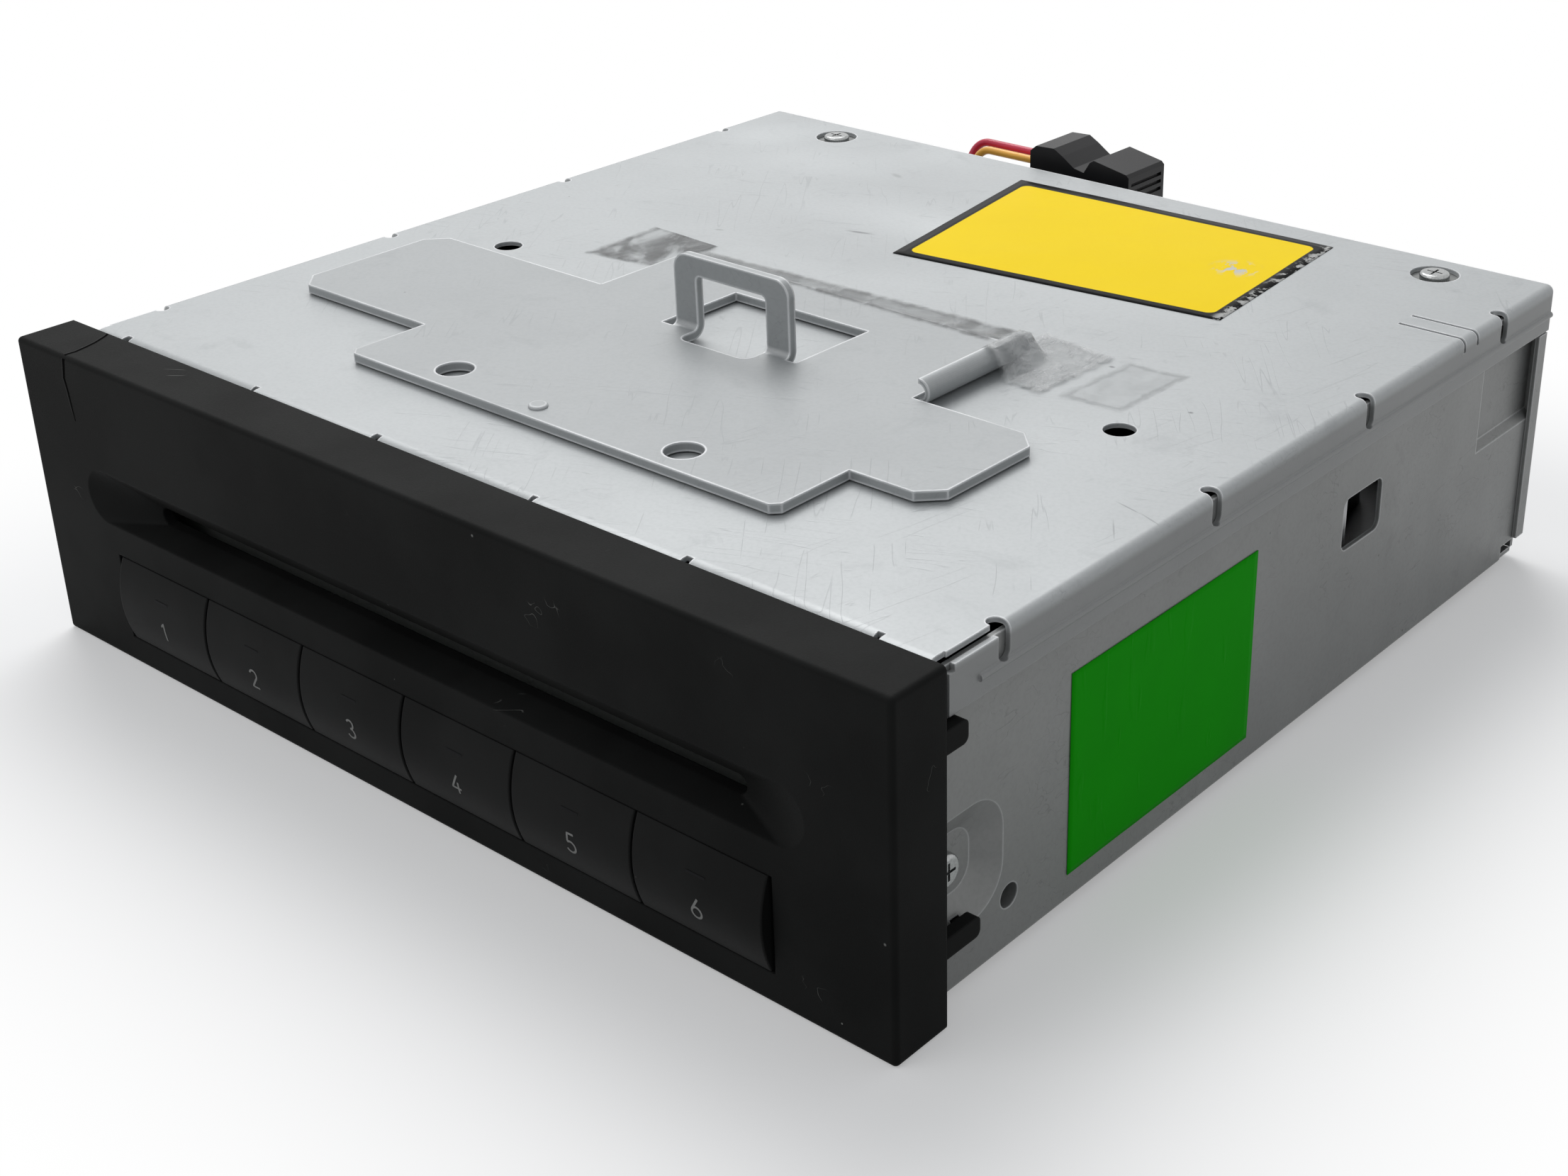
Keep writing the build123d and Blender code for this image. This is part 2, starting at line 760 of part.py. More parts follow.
def chassis_tray():
    """Bent steel tray: floor, two side walls and a front wall with the disc opening."""
    tray = prism_y(channel(wall_outer, case_bottom, wall_top, sheet, bend_radius), (case_front, rear_inner))
    front_z = (case_bottom + bend_radius, case_top - lid_front_flange - 0.5)
    front = block((-wall_inner - 0.2, wall_inner + 0.2), (case_front, case_front + sheet), front_z)
    front += block(
        (-wall_outer + bend_radius, wall_outer - bend_radius),
        (case_front, case_front + sheet),
        (case_bottom, front_z[0] + 0.5),
    )
    for x0, x1 in hem_segments:
        tab_z = (front_z[1] - 1, case_top - 0.35)
        front += block((x0 + hem_notch, x1 - hem_notch), (case_front, case_front + sheet), tab_z)
    tray += front
    tray -= block(
        (-guide_slot_half, guide_slot_half),
        (case_front - 1, case_front + sheet + 0.02),
        guide_slot_z,
    )
    # pressed feet under the floor and standoffs for the main board
    for x in (-case_half + foot_inset_x, case_half - foot_inset_x):
        for y in (foot_front_y, foot_rear_y):
            foot = Pos(x, y, case_bottom / 2) * Cone(foot_radius - case_bottom, foot_radius, case_bottom)
            tray += foot
    for x, y in main_board_holes():
        tray += rod_z_axis(standoff_radius, x, y, (floor_top - fit_overlap, board_low))
        tray -= rod_z_axis(inner_screw_radius + 0.03, x, y, (case_bottom + 0.3, board_low + 1))
    return side_details_cut(tray)


def lid_front(x, front_y):
    """One stretch of the lid's front edge, bent down, with its front face at front_y."""
    end_y = front_y + lid_front_bend + 2
    low = case_top - lid_front_flange
    outer = ((end_y, case_top), (front_y, case_top), (front_y, low))
    inner = ((end_y, lid_under), (front_y + sheet, lid_under), (front_y + sheet, low))
    outer_path = FilletPolyline(*outer, radius=lid_front_bend)
    inner_path = FilletPolyline(*inner, radius=lid_front_bend - sheet)
    ends = Line(outer[0], inner[0]).edges() + Line(outer[2], inner[2]).edges()
    return prism_x(make_face(outer_path.edges() + inner_path.edges() + ends), x)


def bend_notch(y, side):
    """The slot punched through the lid's side bend at y, on one side (+1 or -1)."""
    half = bend_notch_width / 2
    inner = case_half - bend_notch_reach
    low = case_top - bend_notch_depth
    cut = block((inner + half, case_half + 1), (y - half, y + half), (low + half, case_top + 1))
    cut += rod_z_axis(half, inner + half, y, (lid_under - 1, case_top + 1))
    cut += rod_x(half, (case_half - sheet - 0.5, case_half + 1), y, low + half)
    return cut if side > 0 else mirror(cut, Plane.YZ)


def top_lid():
    """Bent steel lid: top, two beaded side flanges, an interlaced front edge and its cut-outs."""
    back_of_front = case_front + lid_front_bend + 1.5
    lid = prism_y(channel(case_half, case_top, lid_flange_low, sheet, bend_radius), (back_of_front, case_rear))
    # front edge: behind the tray's front tabs in the hem segments, in front of it elsewhere
    recess_y = case_front + sheet + seam
    proud_y = case_front
    stops = [-lid_edge] + [x for segment in hem_segments for x in segment] + [lid_edge]
    for i in range(len(stops) - 1):
        inside = i % 2 == 1
        x0 = stops[i]
        x1 = stops[i + 1]
        piece = lid_front((x0, x1), recess_y if inside else proud_y)
        if not inside:
            low = case_top - lid_front_flange - 0.5
            piece -= block((x0 - 1, x1 + 1), (0, case_front + sheet + 0.1), (0, low))
        lid += piece
    for x in stops[1:-1]:
        half = hem_notch / 2
        lid -= block((x - half, x + half), (0, recess_y + lid_front_bend - 0.4), (0, case_top + 1))
    # side flanges forward of the top's front bend, with the relief at the corners
    flange = block((case_half - sheet, case_half), (case_front + 3, back_of_front + 1), (lid_flange_low, case_top - 2.2))
    lid += mirrored(flange)
    relief = block((case_half - sheet - 0.6, case_half + 1), (0, corner_notch_y), (lid_under - 0.4, case_top + 1))
    lid -= mirrored(relief)
    # beads along the flanges
    bead_y = (lid_bead_front, case_rear)
    lid += mirrored(rod_y(lid_bead_radius, case_half - 0.1, bead_y, lid_bead_z) & block((case_half - 0.3, case_half + 1), bead_y, (0, case_top)))
    for side in (-1, 1):
        for y in bend_notch_ys + (corner_notch_y,):
            lid -= bend_notch(y, side)
    for y in tension_slit_ys:
        half = tension_slit_width / 2
        slit_x = (case_half - tension_slit_length, case_half + 1)
        lid -= block(slit_x, (y - half, y + half), (lid_under - 1.5, case_top + 1))
    for x in (-lid_hole_x, lid_hole_x):
        lid -= rod_z_axis(lid_hole_radius, x, lid_hole_y, (lid_under - 1, case_top + 1))
    for x in lid_screw_x:
        lid -= rod_z_axis(lid_screw_cutout_radius, x, lid_screw_y, (lid_under - 1, case_top + 1))
    # pads that hold the mounting plate clear of the lid
    for x, y in plate_pad_places:
        lid += rod_z_axis(plate_pad_radius, x, y, (case_top - fit_overlap, plate_low))
    return lid


def rear_panel():
    """Rear wall of the case: rim wrapped round the sides, tabs under the lid, vents and cut-outs."""
    y = (rear_inner, rear_outer)
    low = floor_top + seam
    panel = block((-wall_inner + seam, wall_inner - seam), y, (low, lid_under - seam))
    rim_z = (case_bottom + rear_notch_height + 0.4, lid_flange_low - 0.3)
    panel += block((-case_half, case_half), y, rim_z)
    rim = block((wall_outer + seam, case_half), (rear_outer - rear_flange_length, rear_outer), rim_z)
    panel += mirrored(rim)
    for x in lid_screw_x:
        half = rear_tab_width / 2
        tab_z = (lid_under - seam - rear_gauge, lid_under - seam)
        panel += block((x - half, x + half), (rear_outer - rear_tab_length, rear_outer), tab_z)
        panel -= rod_z_axis(rear_screw_radius + 0.1, x, lid_screw_y, (tab_z[0] - 1, tab_z[1] + 1))
    for i in range(vent_count):
        x = vent_x + (i - (vent_count - 1) / 2) * vent_pitch
        slot = Pos(x, vent_z) * Rot(0, 0, 90) * SlotOverall(vent_height, vent_width)
        panel -= prism_y(slot, (y[0] - 1, y[1] + 1))
    cut = 0.2
    panel -= block(
        (socket_x[0] - cut, socket_x[1] + cut),
        (y[0] - 1, y[1] + 1),
        (board_top - cut, board_top + socket_height + cut),
    )
    panel -= rod_y(grommet_radius - grommet_flange + 0.05, wire_exit_x, (y[0] - 1, y[1] + 1), wire_exit_z)
    for x, z in rear_screw_places():
        panel -= rod_y(rear_screw_radius + 0.1, x, (y[0] - 1, y[1] + 1), z)
    return panel


def rear_screw_places():
    """Where the rear panel's screws go, as (x, z)."""
    x = case_half - 10
    return ((-x, 12.0), (x, 12.0), (-x, 40.0), (x, 40.0))


# ---------------------------------------------------------------- mounting plate
def mounting_plate():
    """Flat steel plate with two wings, its finger loop bent up out of the window behind it."""
    z = (plate_low, plate_top)
    tight = plate_corner
    wide = plate_wing_corner
    outline = polygon(
        (plate_tongue_left + tight, plate_front),
        (plate_tongue_right - tight, plate_front),
        (plate_tongue_right, plate_front + tight),
        (plate_tongue_right, plate_wing_front),
        (plate_right - wide, plate_wing_front),
        (plate_right, plate_wing_front + wide),
        (plate_right, plate_wing_rear_right - wide),
        (plate_right - wide, plate_wing_rear_right),
        (plate_tail_right, plate_wing_rear_right),
        (plate_tail_right, plate_rear),
        (plate_tail_left, plate_rear),
        (plate_tail_left, plate_wing_rear_left),
        (plate_left + wide, plate_wing_rear_left),
        (plate_left, plate_wing_rear_left - wide),
        (plate_left, plate_wing_front + wide),
        (plate_left + wide, plate_wing_front),
        (plate_tongue_left, plate_wing_front),
        (plate_tongue_left, plate_front + tight),
    )
    plate = prism_z(outline, z)
    for side in (-1, 1):
        x = plate_hole_x + side * plate_hole_spacing / 2
        plate -= rod_z_axis(plate_hole_radius, x, plate_hole_y, (z[0] - 1, z[1] + 1))
    bend_start = loop_front + plate_gauge - loop_bend - plate_gauge
    window = block((loop_window_left, loop_window_right), (bend_start, loop_window_rear), (z[0] - 1, z[1] + 1))
    inner_left = loop_left + loop_leg_width
    inner_right = loop_right - loop_leg_width
    relief = block((inner_left, inner_right), (loop_relief_front, bend_start + 1), (z[0] - 1, z[1] + 1))
    relief = fillet(relief.edges().filter_by(Axis.Z).group_by(Axis.Y)[0], 2.0)
    plate -= window + relief
    # the loop: sheet bent through a right angle, then cut to its arch
    top = plate_top + loop_height
    start = bend_start - 1.0
    outer = ((start, plate_low), (loop_front + plate_gauge, plate_low), (loop_front + plate_gauge, top))
    inner = ((start, plate_top), (loop_front, plate_top), (loop_front, top))
    outer_path = FilletPolyline(*outer, radius=loop_bend + plate_gauge)
    inner_path = FilletPolyline(*inner, radius=loop_bend)
    ends = Line(outer[0], inner[0]).edges() + Line(outer[2], inner[2]).edges()
    bent = prism_x(make_face(outer_path.edges() + inner_path.edges() + ends), (loop_left, loop_right))
    y = (start - 1, loop_front + plate_gauge + 1)
    arch = block((loop_left, loop_right), y, (plate_low - 1, top))
    top_corners = arch.edges().filter_by(Axis.Y).group_by(Axis.Z)[-1]
    arch = fillet(top_corners, loop_outer_radius)
    gap = block((inner_left, inner_right), (y[0] - 1, y[1] + 1), (plate_low - 2, top - loop_bar_height))
    gap = fillet(gap.edges().filter_by(Axis.Y).group_by(Axis.Z)[-1], loop_inner_radius)
    plate += bent & (arch - gap)
    # curled edge beside the tail
    centre = (plate_tail_right, plate_top + curl_radius - plate_gauge)
    curl = rod_y(curl_radius, centre[0], (curl_front, curl_rear), centre[1])
    curl -= rod_y(curl_radius - 0.8, centre[0], (curl_front - 1, curl_rear + 1), centre[1])
    curl &= block((centre[0], centre[0] + 10), (curl_front - 1, curl_rear + 1), (0, 100))
    plate += curl
    return plate


# ---------------------------------------------------------------- rear connector and wires
def rear_connector():
    """Moulded plug housing on its bracket: stepped, sloping top, latch and a row of cavities."""
    x0, x1 = connector_x
    width = x1 - x0
    top = (
        (x0, connector_left_top - 1.2),
        (x0 + 1.4, connector_left_top),
        (x0 + width * 0.24, connector_left_top + 0.2),
        (x0 + width * 0.33, connector_left_top - 1.0),
        (x0 + width * 0.45, connector_dip + 0.5),
        (x0 + width * 0.55, connector_dip),
        (x0 + width * 0.61, connector_right_top - 0.6),
        (x0 + width * 0.65, connector_right_top),
        (x1 - 0.6, connector_right_low),
        (x1, connector_right_low - 0.6),
    )
    outline = polygon((x0, connector_base_z), *top, (x1, connector_base_z))
    body = prism_y(outline, (connector_front, connector_front + connector_depth))
    cavity_x = (x0 + connector_wall, x1 - connector_wall)
    cavity_z = (connector_base_z + connector_wall, connector_dip - connector_wall - 1)
    rear = connector_front + connector_depth
    body -= block(cavity_x, (rear - 7, rear + 1), cavity_z)
    for i in range(3):
        z = connector_right_low - 2.2 - i * 1.5
        body -= block((x1 - 0.5, x1 + 1), (connector_front + 1, rear - 1), (z - 0.35, z + 0.35))
    return body


def connector_bracket():
    """Bent bracket that carries the connector on the rear panel."""
    gauge = bracket_gauge
    low, high = bracket_z
    foot_y = (rear_outer, rear_outer + gauge)
    hold_y = (connector_front - gauge, connector_front)
    foot = block(bracket_x, foot_y, (low, high - 6))
    hold = block(bracket_x, hold_y, (connector_base_z - 2, high))
    web = block(bracket_x, (foot_y[0], hold_y[1]), (connector_base_z - 2, connector_base_z - 2 + gauge))
    return foot + hold + web


def wire(index):
    """One insulated lead from the grommet, up and over to the connector's left side."""
    shift = (index - 0.5) * wire_pitch
    start = (wire_exit_x - shift, rear_outer + grommet_flange + seam, wire_exit_z)
    end = (connector_x[0] - seam, wire_entry_y + shift, wire_entry_z + shift * 0.4)
    points = (
        start,
        (start[0], start[1] + wire_rise_start, start[2]),
        (start[0] + wire_lean, end[1], end[2]),
        end,
    )
    path = FilletPolyline(*points, radius=wire_bend)
    return sweep(Plane(origin=points[0], z_dir=(0, 1, 0)) * Circle(wire_radius), path)


def wire_grommet():
    """Rubber grommet in the rear panel, with a hole for each lead."""
    neck = rod_y(grommet_radius - grommet_flange, wire_exit_x, (rear_inner - 0.8, rear_outer + 0.8), wire_exit_z)
    outside = rod_y(grommet_radius, wire_exit_x, (rear_outer, rear_outer + grommet_flange), wire_exit_z)
    inside = rod_y(grommet_radius, wire_exit_x, (rear_inner - grommet_flange, rear_inner), wire_exit_z)
    return neck + outside + inside


def optical_socket():
    """Twin socket on the main board's rear edge, reached through the rear panel."""
    z = (board_top, board_top + socket_height)
    body = block(socket_x, (rear_outer - socket_depth, rear_outer + 0.6), z)
    wall = socket_wall
    pocket_x = (socket_x[0] + wall, socket_x[1] - wall)
    body -= block(pocket_x, (rear_outer - 7, rear_outer + 2), (z[0] + wall, z[1] - wall))
    middle = ((socket_x[0] + socket_x[1]) / 2, (z[0] + z[1]) / 2)
    for side in (-1, 1):
        x = middle[0] + side * socket_bore_pitch / 2
        ferrule = rod_y(socket_bore_radius, x, (rear_outer - 7.5, rear_outer - 1.5), middle[1])
        body += ferrule - rod_y(1.2, x, (rear_outer - 6, rear_outer), middle[1])
    return body


# ---------------------------------------------------------------- main board
def main_board_holes():
    """Screw places of the main board, as (x, y)."""
    x = main_board_half - 5
    return ((-x, main_board_front + 16), (x, main_board_front + 16), (-x, main_board_rear - 5), (x, main_board_rear - 5))


def main_board():
    """Main circuit board on the tray's standoffs."""
    board = block((-main_board_half, main_board_half), (main_board_front, main_board_rear), (board_low, board_top))
    for x, y in main_board_holes():
        board -= rod_z_axis(inner_screw_radius + 0.1, x, y, (board_low - 1, board_top + 1))
    return board


def board_components():
    """Chips and capacitors soldered on the main board."""
    solids = []
    for x, y, width, length in chips:
        solids.append(block((x - width / 2, x + width / 2), (y - length / 2, y + length / 2), (board_top, board_top + chip_height)))
    return group(solids)


# ---------------------------------------------------------------- mechanism frame
def mech_frame():
    """Pressed base of the mechanism with two side walls, ring guides and the motor saddle."""
    z = (frame_z, frame_top)
    frame = block((-frame_half, frame_half), (frame_front, frame_rear), z)
    wall = block((frame_half - frame_gauge, frame_half), (frame_wall_front, frame_wall_rear), (frame_z, bridge_z))
    opening = Pos((frame_wall_front + frame_wall_rear) / 2, 26) * RectangleRounded(64, 20, 4)
    wall -= prism_x(opening, (frame_half - 2, frame_half + 1))
    frame += mirrored(wall)
    # lock tab that shows in the case's side window
    tab_z = (side_window_z[0] - 1.5, side_window_z[1] + 2)
    tab = block((frame_half - frame_gauge, frame_half + lock_tab_reach), (lock_tab_y[0], lock_tab_y[0] + frame_gauge), tab_z)
    tab += block((frame_half + lock_tab_reach - frame_gauge, frame_half + lock_tab_reach), lock_tab_y, tab_z)
    band = block((frame_half - frame_gauge, frame_half), (lock_tab_y[0] - 3, lock_tab_y[1] + 3), (frame_z, bridge_z))
    frame += band + tab
    # windows under the traverse, spindle bearings, train holes
    frame -= block((-13, 13), (disc_y - 74, disc_y - 17), (z[0] - 1, z[1] + 1))
    for x, y in spindle_places:
        frame -= rod_z_axis(spindle_radius + running_gap, x, y, (z[0] - 1, z[1] + 1))
    notch_x = (socket_x[0] - socket_notch, socket_x[1] + socket_notch)
    frame -= block(notch_x, (rear_outer - socket_depth - socket_notch, case_rear), (z[0] - 1, z[1] + 1))
    pinion = polar(lift_pinion_distance, lift_train_angle)
    frame -= rod_z_axis(1.4, pinion[0], pinion[1], (z[0] - 1, z[1] + 1))
    idler = polar(idler_distance, lift_train_angle)
    frame += rod_z_axis(1.2, idler[0], idler[1], (ring_low - 0.2, frame_z + 0.1))
    for angle in (20, 135, 250):
        x, y = polar(ring_inner_radius - ring_guide_radius - running_gap, angle)
        frame += rod_z_axis(ring_guide_radius, x, y, (ring_low - 0.9, frame_z + 0.1))
        frame += rod_z_axis(ring_guide_head, x, y, (ring_low - 0.9, ring_low - 0.2))
    # saddle of the loading motor
    saddle_x = (load_motor_x[0] + 3, load_motor_x[1] - 3)
    saddle = block(saddle_x, (load_y - 4, load_y + 4), (frame_top - 0.1, load_z - 2.5))
    frame += saddle - rod_x(load_motor_radius + 0.03, (saddle_x[0] - 1, saddle_x[1] + 1), load_y, load_z)
    return frame


def polar(distance, angle):
    """A point at a distance and an angle, in degrees, from the middle of the stored discs."""
    return (distance * cos(radians(angle)), disc_y + distance * sin(radians(angle)))


def rubber_mounts():
    """Cushions under the mechanism frame, and the four bushes of the traverse."""
    solids = []
    for x in (-damper_x, damper_x):
        for y in damper_ys:
            solids.append(rod_z_axis(damper_radius, x, y, (floor_top, frame_z)))
    for u in (traverse_u[0] + 4, traverse_u[1] - 4):
        for v in (traverse_v[0] + 4, traverse_v[1] - 4):
            solids.append(on_traverse(rod_z_axis(bush_radius, u, v, (frame_top, traverse_z))))
    return group(solids)


def top_bridge():
    """Plate across the walls that steadies the spindles' upper ends."""
    z = (bridge_z, bridge_z + frame_gauge)
    bridge = block((-frame_half, frame_half), (bridge_front, frame_rear), z)
    bridge -= rod_z_axis(bridge_opening, 0, disc_y, (z[0] - 1, z[1] + 1))
    bridge -= block((-30, 30), (bridge_front - 1, disc_y), (z[0] - 1, z[1] + 1))
    for x, y in spindle_places:
        bridge -= rod_z_axis(spindle_radius + running_gap, x, y, (z[0] - 1, z[1] + 1))
    return bridge


def lift_spindle(x, y):
    """Lift spindle: post with its collar and the gear that the ring turns."""
    gear = gear_face(spindle_teeth, gear_module, 180 / spindle_teeth)
    gear_z = (ring_low - 0.1, ring_low - 0.1 + spindle_gear_gauge)
    spindle = prism_z(gear, gear_z)
    spindle += rod_z_axis(spindle_radius, 0, 0, (gear_z[0] - 0.4, bridge_z + frame_gauge + 1))
    spindle += rod_z_axis(spindle_radius + 1.0, 0, 0, (frame_top + 0.1, frame_top + 0.9))
    return Pos(x, y, 0) * spindle


def ring_gear():
    """Large ring with four toothed sectors, one for each spindle and one for the motor's train."""
    outer = ring_pitch_radius - 1.25 * gear_module
    face = Circle(outer) - Circle(ring_inner_radius)
    ring = prism_z(face, (ring_low, ring_top))
    step = 360 / ring_teeth
    travel = round(tray_travel / lift_per_ring_degree() / step)
    for angle in (0, lift_train_angle, 90, 180):
        contact = round(angle / step)
        numbers = range(contact - travel - 2, contact + 3)
        sector = gear_sector(numbers)
        ring += prism_z(sector, (ring_low, ring_top))
    return Pos(0, disc_y, 0) * ring


def gear_sector(numbers):
    """A fan of ring teeth between two radii, for the given tooth numbers."""
    points = []
    inner = ring_inner_radius + 1
    step = 2 * pi / ring_teeth
    tip = ring_pitch_radius + 0.95 * gear_module
    root = ring_pitch_radius - 1.25 * gear_module
    levels = (root, ring_pitch_radius, tip)
    half = [involute_half_angle(r, ring_teeth, gear_module, 0.12) for r in levels]
    for number in numbers:
        middle = number * step
        points += [(r * cos(middle - h), r * sin(middle - h)) for r, h in zip(levels, half)]
        points += [
            (r * cos(middle + h), r * sin(middle + h))
            for r, h in zip(reversed(levels), reversed(half))
        ]
    first = numbers[0] * step
    last = numbers[-1] * step
    middle = (first + last) / 2
    points += [(inner * cos(a), inner * sin(a)) for a in (last, middle, first)]
    return polygon(*points)


def lift_per_ring_degree():
    """How far the trays rise for each degree of the ring."""
    lead = tray_travel
    return lead / 360 * ring_teeth / spindle_teeth


def lift_idler():
    """Idler between the lift motor's pinion and the ring."""
    toward_ring = lift_train_angle + 180
    face = gear_face(idler_teeth, gear_module, toward_ring + 180 / idler_teeth)
    gear = prism_z(face, (ring_low, ring_top - 0.1)) - rod_z_axis(1.2 + running_gap, 0, 0, (0, 20))
    return Pos(*polar(idler_distance, lift_train_angle), 0) * gear


def lift_pinion():
    """Pinion on the lift motor's shaft."""
    toward_idler = lift_train_angle + 180
    gear = prism_z(gear_face(lift_pinion_teeth, gear_module, toward_idler), (ring_low, ring_top))
    gear += rod_z_axis(1.0, 0, 0, (ring_low, frame_top + 3))
    return Pos(*polar(lift_pinion_distance, lift_train_angle), 0) * gear


def lift_motor():
    """Can motor that lifts the trays, standing on the mechanism frame."""
    can = rod_z_axis(lift_motor_radius, 0, 0, (frame_top, frame_top + lift_motor_height))
    can = fillet(can.edges().sort_by(Axis.Z)[-1], 1.0)
    can -= rod_z_axis(1.0 + running_gap, 0, 0, (frame_top - 1, frame_top + 3 + running_gap))
    can += rod_z_axis(2.4, 0, 0, (frame_top + lift_motor_height - 0.1, frame_top + lift_motor_height + 1.2))
    return Pos(*polar(lift_pinion_distance, lift_train_angle), 0) * can


# ---------------------------------------------------------------- trays
def tray():
    """One disc tray: a horseshoe ledge with its rim and three ears that ride the spindles."""
    inner = disc_radius - tray_ledge + tray_rim
    half = tray_mouth_angle / 2
    reach = tray_outer * 2
    mouth = polygon(
        (0, 0),
        (-reach * sin(radians(half)), -reach * cos(radians(half))),
        (reach * sin(radians(half)), -reach * cos(radians(half))),
    )
    ledge = Circle(tray_outer + tray_rim) - Circle(inner) - mouth
    rim = Circle(tray_outer + tray_rim) - Circle(tray_outer - 0.4) - mouth
    body = prism_z(ledge, (0, tray_gauge))
    body += prism_z(rim, (tray_gauge - 0.1, tray_gauge + tray_rim_height))
    for x, y in spindle_places:
        ear = rod_z_axis(tray_ear_radius, x, y - disc_y, (0, tray_gauge))
        body += ear
    body -= rod_z_axis(tray_outer - 0.4, 0, 0, (tray_gauge, tray_gauge + 5))
    for x, y in spindle_places:
        body -= rod_z_axis(spindle_radius + running_gap, x, y - disc_y, (-1, 5))
    return body


# ---------------------------------------------------------------- disc intake
def guide_frame():
    """Moulded frame behind the front wall: flared disc opening, screw bosses, flap ears."""
    half = guide_frame_half
    y = (guide_frame_front, guide_frame_rear)
    frame = block((-half, half), y, guide_frame_z)
    opening = block((-guide_slot_half, guide_slot_half), (y[0] - 1, y[1] + 1), guide_slot_z)
    frame -= opening
    frame -= block((-72, 72), (y[0] + 1.6, y[1] + 1), (guide_frame_z[0] + 1.6, guide_slot_z[0] - 1.6))
    for side in (-1, 1):
        x0 = side * (flap_half + 0.4)
        x1 = side * (flap_half + 0.4 + flap_ear_gauge)
        ear_x = (min(x0, x1), max(x0, x1))
        ear = block(ear_x, (y[1] - 1, flap_y + 2.2), (flap_pivot_z - 2.2, flap_pivot_z + 2.2))
        ear -= rod_x(flap_pivot_radius + 0.05, (ear_x[0] - 1, ear_x[1] + 1), flap_y, flap_pivot_z)
        frame += ear
    screw_x = (half - 12, half + 1)
    boss = block((half - 8, half), y, (side_screw_z - 4.4, side_screw_z + 4.4))
    frame += mirrored(boss)
    frame -= mirrored(rod_x(side_screw_radius + 0.05, screw_x, side_screw_y, side_screw_z))
    return frame


def dust_flap():
    """Flap that hangs behind the slot from two pivot pins and swings in with a disc."""
    flap_y_range = (flap_y - flap_gauge / 2, flap_y + flap_gauge / 2)
    leaf = block((-flap_half, flap_half), flap_y_range, (flap_pivot_z - flap_drop, flap_pivot_z))
    leaf += rod_x(flap_barrel_radius, (-flap_half, flap_half), flap_y, flap_pivot_z)
    pin_reach = flap_half + 0.4 + flap_ear_gauge
    leaf += rod_x(flap_pivot_radius, (-pin_reach, pin_reach), flap_y, flap_pivot_z)
    return leaf


def side_screws():
    """Pan-head screws in the two drawn dishes."""
    screw = pan_screw(side_screw_head_radius, side_screw_head_height, side_screw_radius, 6.0)
    seat = wall_outer - dish_depth
    right = Pos(seat, side_screw_y, side_screw_z) * Rot(0, 90, 0) * screw
    return group([right, mirror(right, Plane.YZ)])


def loading_roller():
    """Two rubber sleeves, waisted towards the middle so that they touch only a disc's rim."""
    start = roller_middle_gap / 2
    end = start + roller_length
    profile = polygon(
        (start, roller_shaft_radius),
        (start, roller_waist),
        (end, roller_radius),
        (end, roller_shaft_radius),
    )
    sleeve = revolve(Plane.XY * profile, axis=Axis.X)
    sleeve = Pos(0, roller_y, roller_z) * sleeve
    return group([sleeve, mirror(sleeve, Plane.YZ)])


def roller_shaft():
    """Steel shaft of the loading roller."""
    x = (-roller_bracket_x - roller_bracket_gauge - 1.5, roller_gear_x + roller_gear_gauge + 0.8)
    return rod_x(roller_shaft_radius, x, roller_y, roller_z)


def along_x(gear, x, y, z):
    """A gear made along +Z from z = 0, turned to lie along +X with its first angle along +Y."""
    plane = Plane(origin=(x, y, z), x_dir=(0, 1, 0), z_dir=(1, 0, 0))
    return plane * gear


def roller_gear():
    """Gear on the roller's shaft."""
    toward = -load_motor_drop_angle
    face = gear_face(roller_gear_teeth, gear_module, toward)
    gear = extrude(face, amount=roller_gear_gauge) - Pos(0, 0, 0) * Cylinder(roller_shaft_radius, 20)
    return along_x(gear, roller_gear_x, roller_y, roller_z)


def load_pinion():
    """Pinion on the loading motor's shaft."""
    toward = 180 - load_motor_drop_angle
    face = gear_face(load_pinion_teeth, gear_module, toward + 180 / load_pinion_teeth)
    gear = extrude(face, amount=roller_gear_gauge)
    gear = along_x(gear, roller_gear_x, load_y, load_z)
    return gear + rod_x(0.8, (load_motor_x[1] - 4, roller_gear_x + 0.5), load_y, load_z)


def loading_motor():
    """Small can motor in its saddle, behind and below the roller."""
    can = rod_x(load_motor_radius, load_motor_x, load_y, load_z)
    can -= rod_x(0.8 + 0.05, (load_motor_x[1] - 4.1, load_motor_x[1] + 1), load_y, load_z)
    return can


def roller_brackets():
    """Two bearing plates that carry the roller and the upper disc guide."""
    solids = []
    for side in (-1, 1):
        x0 = side * roller_bracket_x
        x1 = side * (roller_bracket_x + roller_bracket_gauge)
        x = (min(x0, x1), max(x0, x1))
        top = guide_bar_low + guide_bar_gauge + 2
        plate = block(x, (roller_y - 5, guide_bar_rear), (frame_top, top))
        plate = fillet(plate.edges().filter_by(Axis.X).group_by(Axis.Z)[-1], 2.0)
        plate -= rod_x(roller_shaft_radius + 0.06, (x[0] - 1, x[1] + 1), roller_y, roller_z)
        if side > 0:
            plate -= rod_x(1.2, (x[0] - 1, x[1] + 1), load_y, load_z)
        solids.append(plate)
    return group(solids)


def disc_guide():
    """Upper guide bar, flared at its leading edge and relieved over the middle of the disc."""
    low = guide_bar_low
    high = low + guide_bar_gauge
    section = polygon(
        (guide_bar_front, low + 1.0),
        (guide_bar_front + 2.0, low),
        (guide_bar_rear, low),
        (guide_bar_rear, high),
        (guide_bar_front, high),
    )
    return prism_x(section, (-roller_bracket_x, roller_bracket_x))


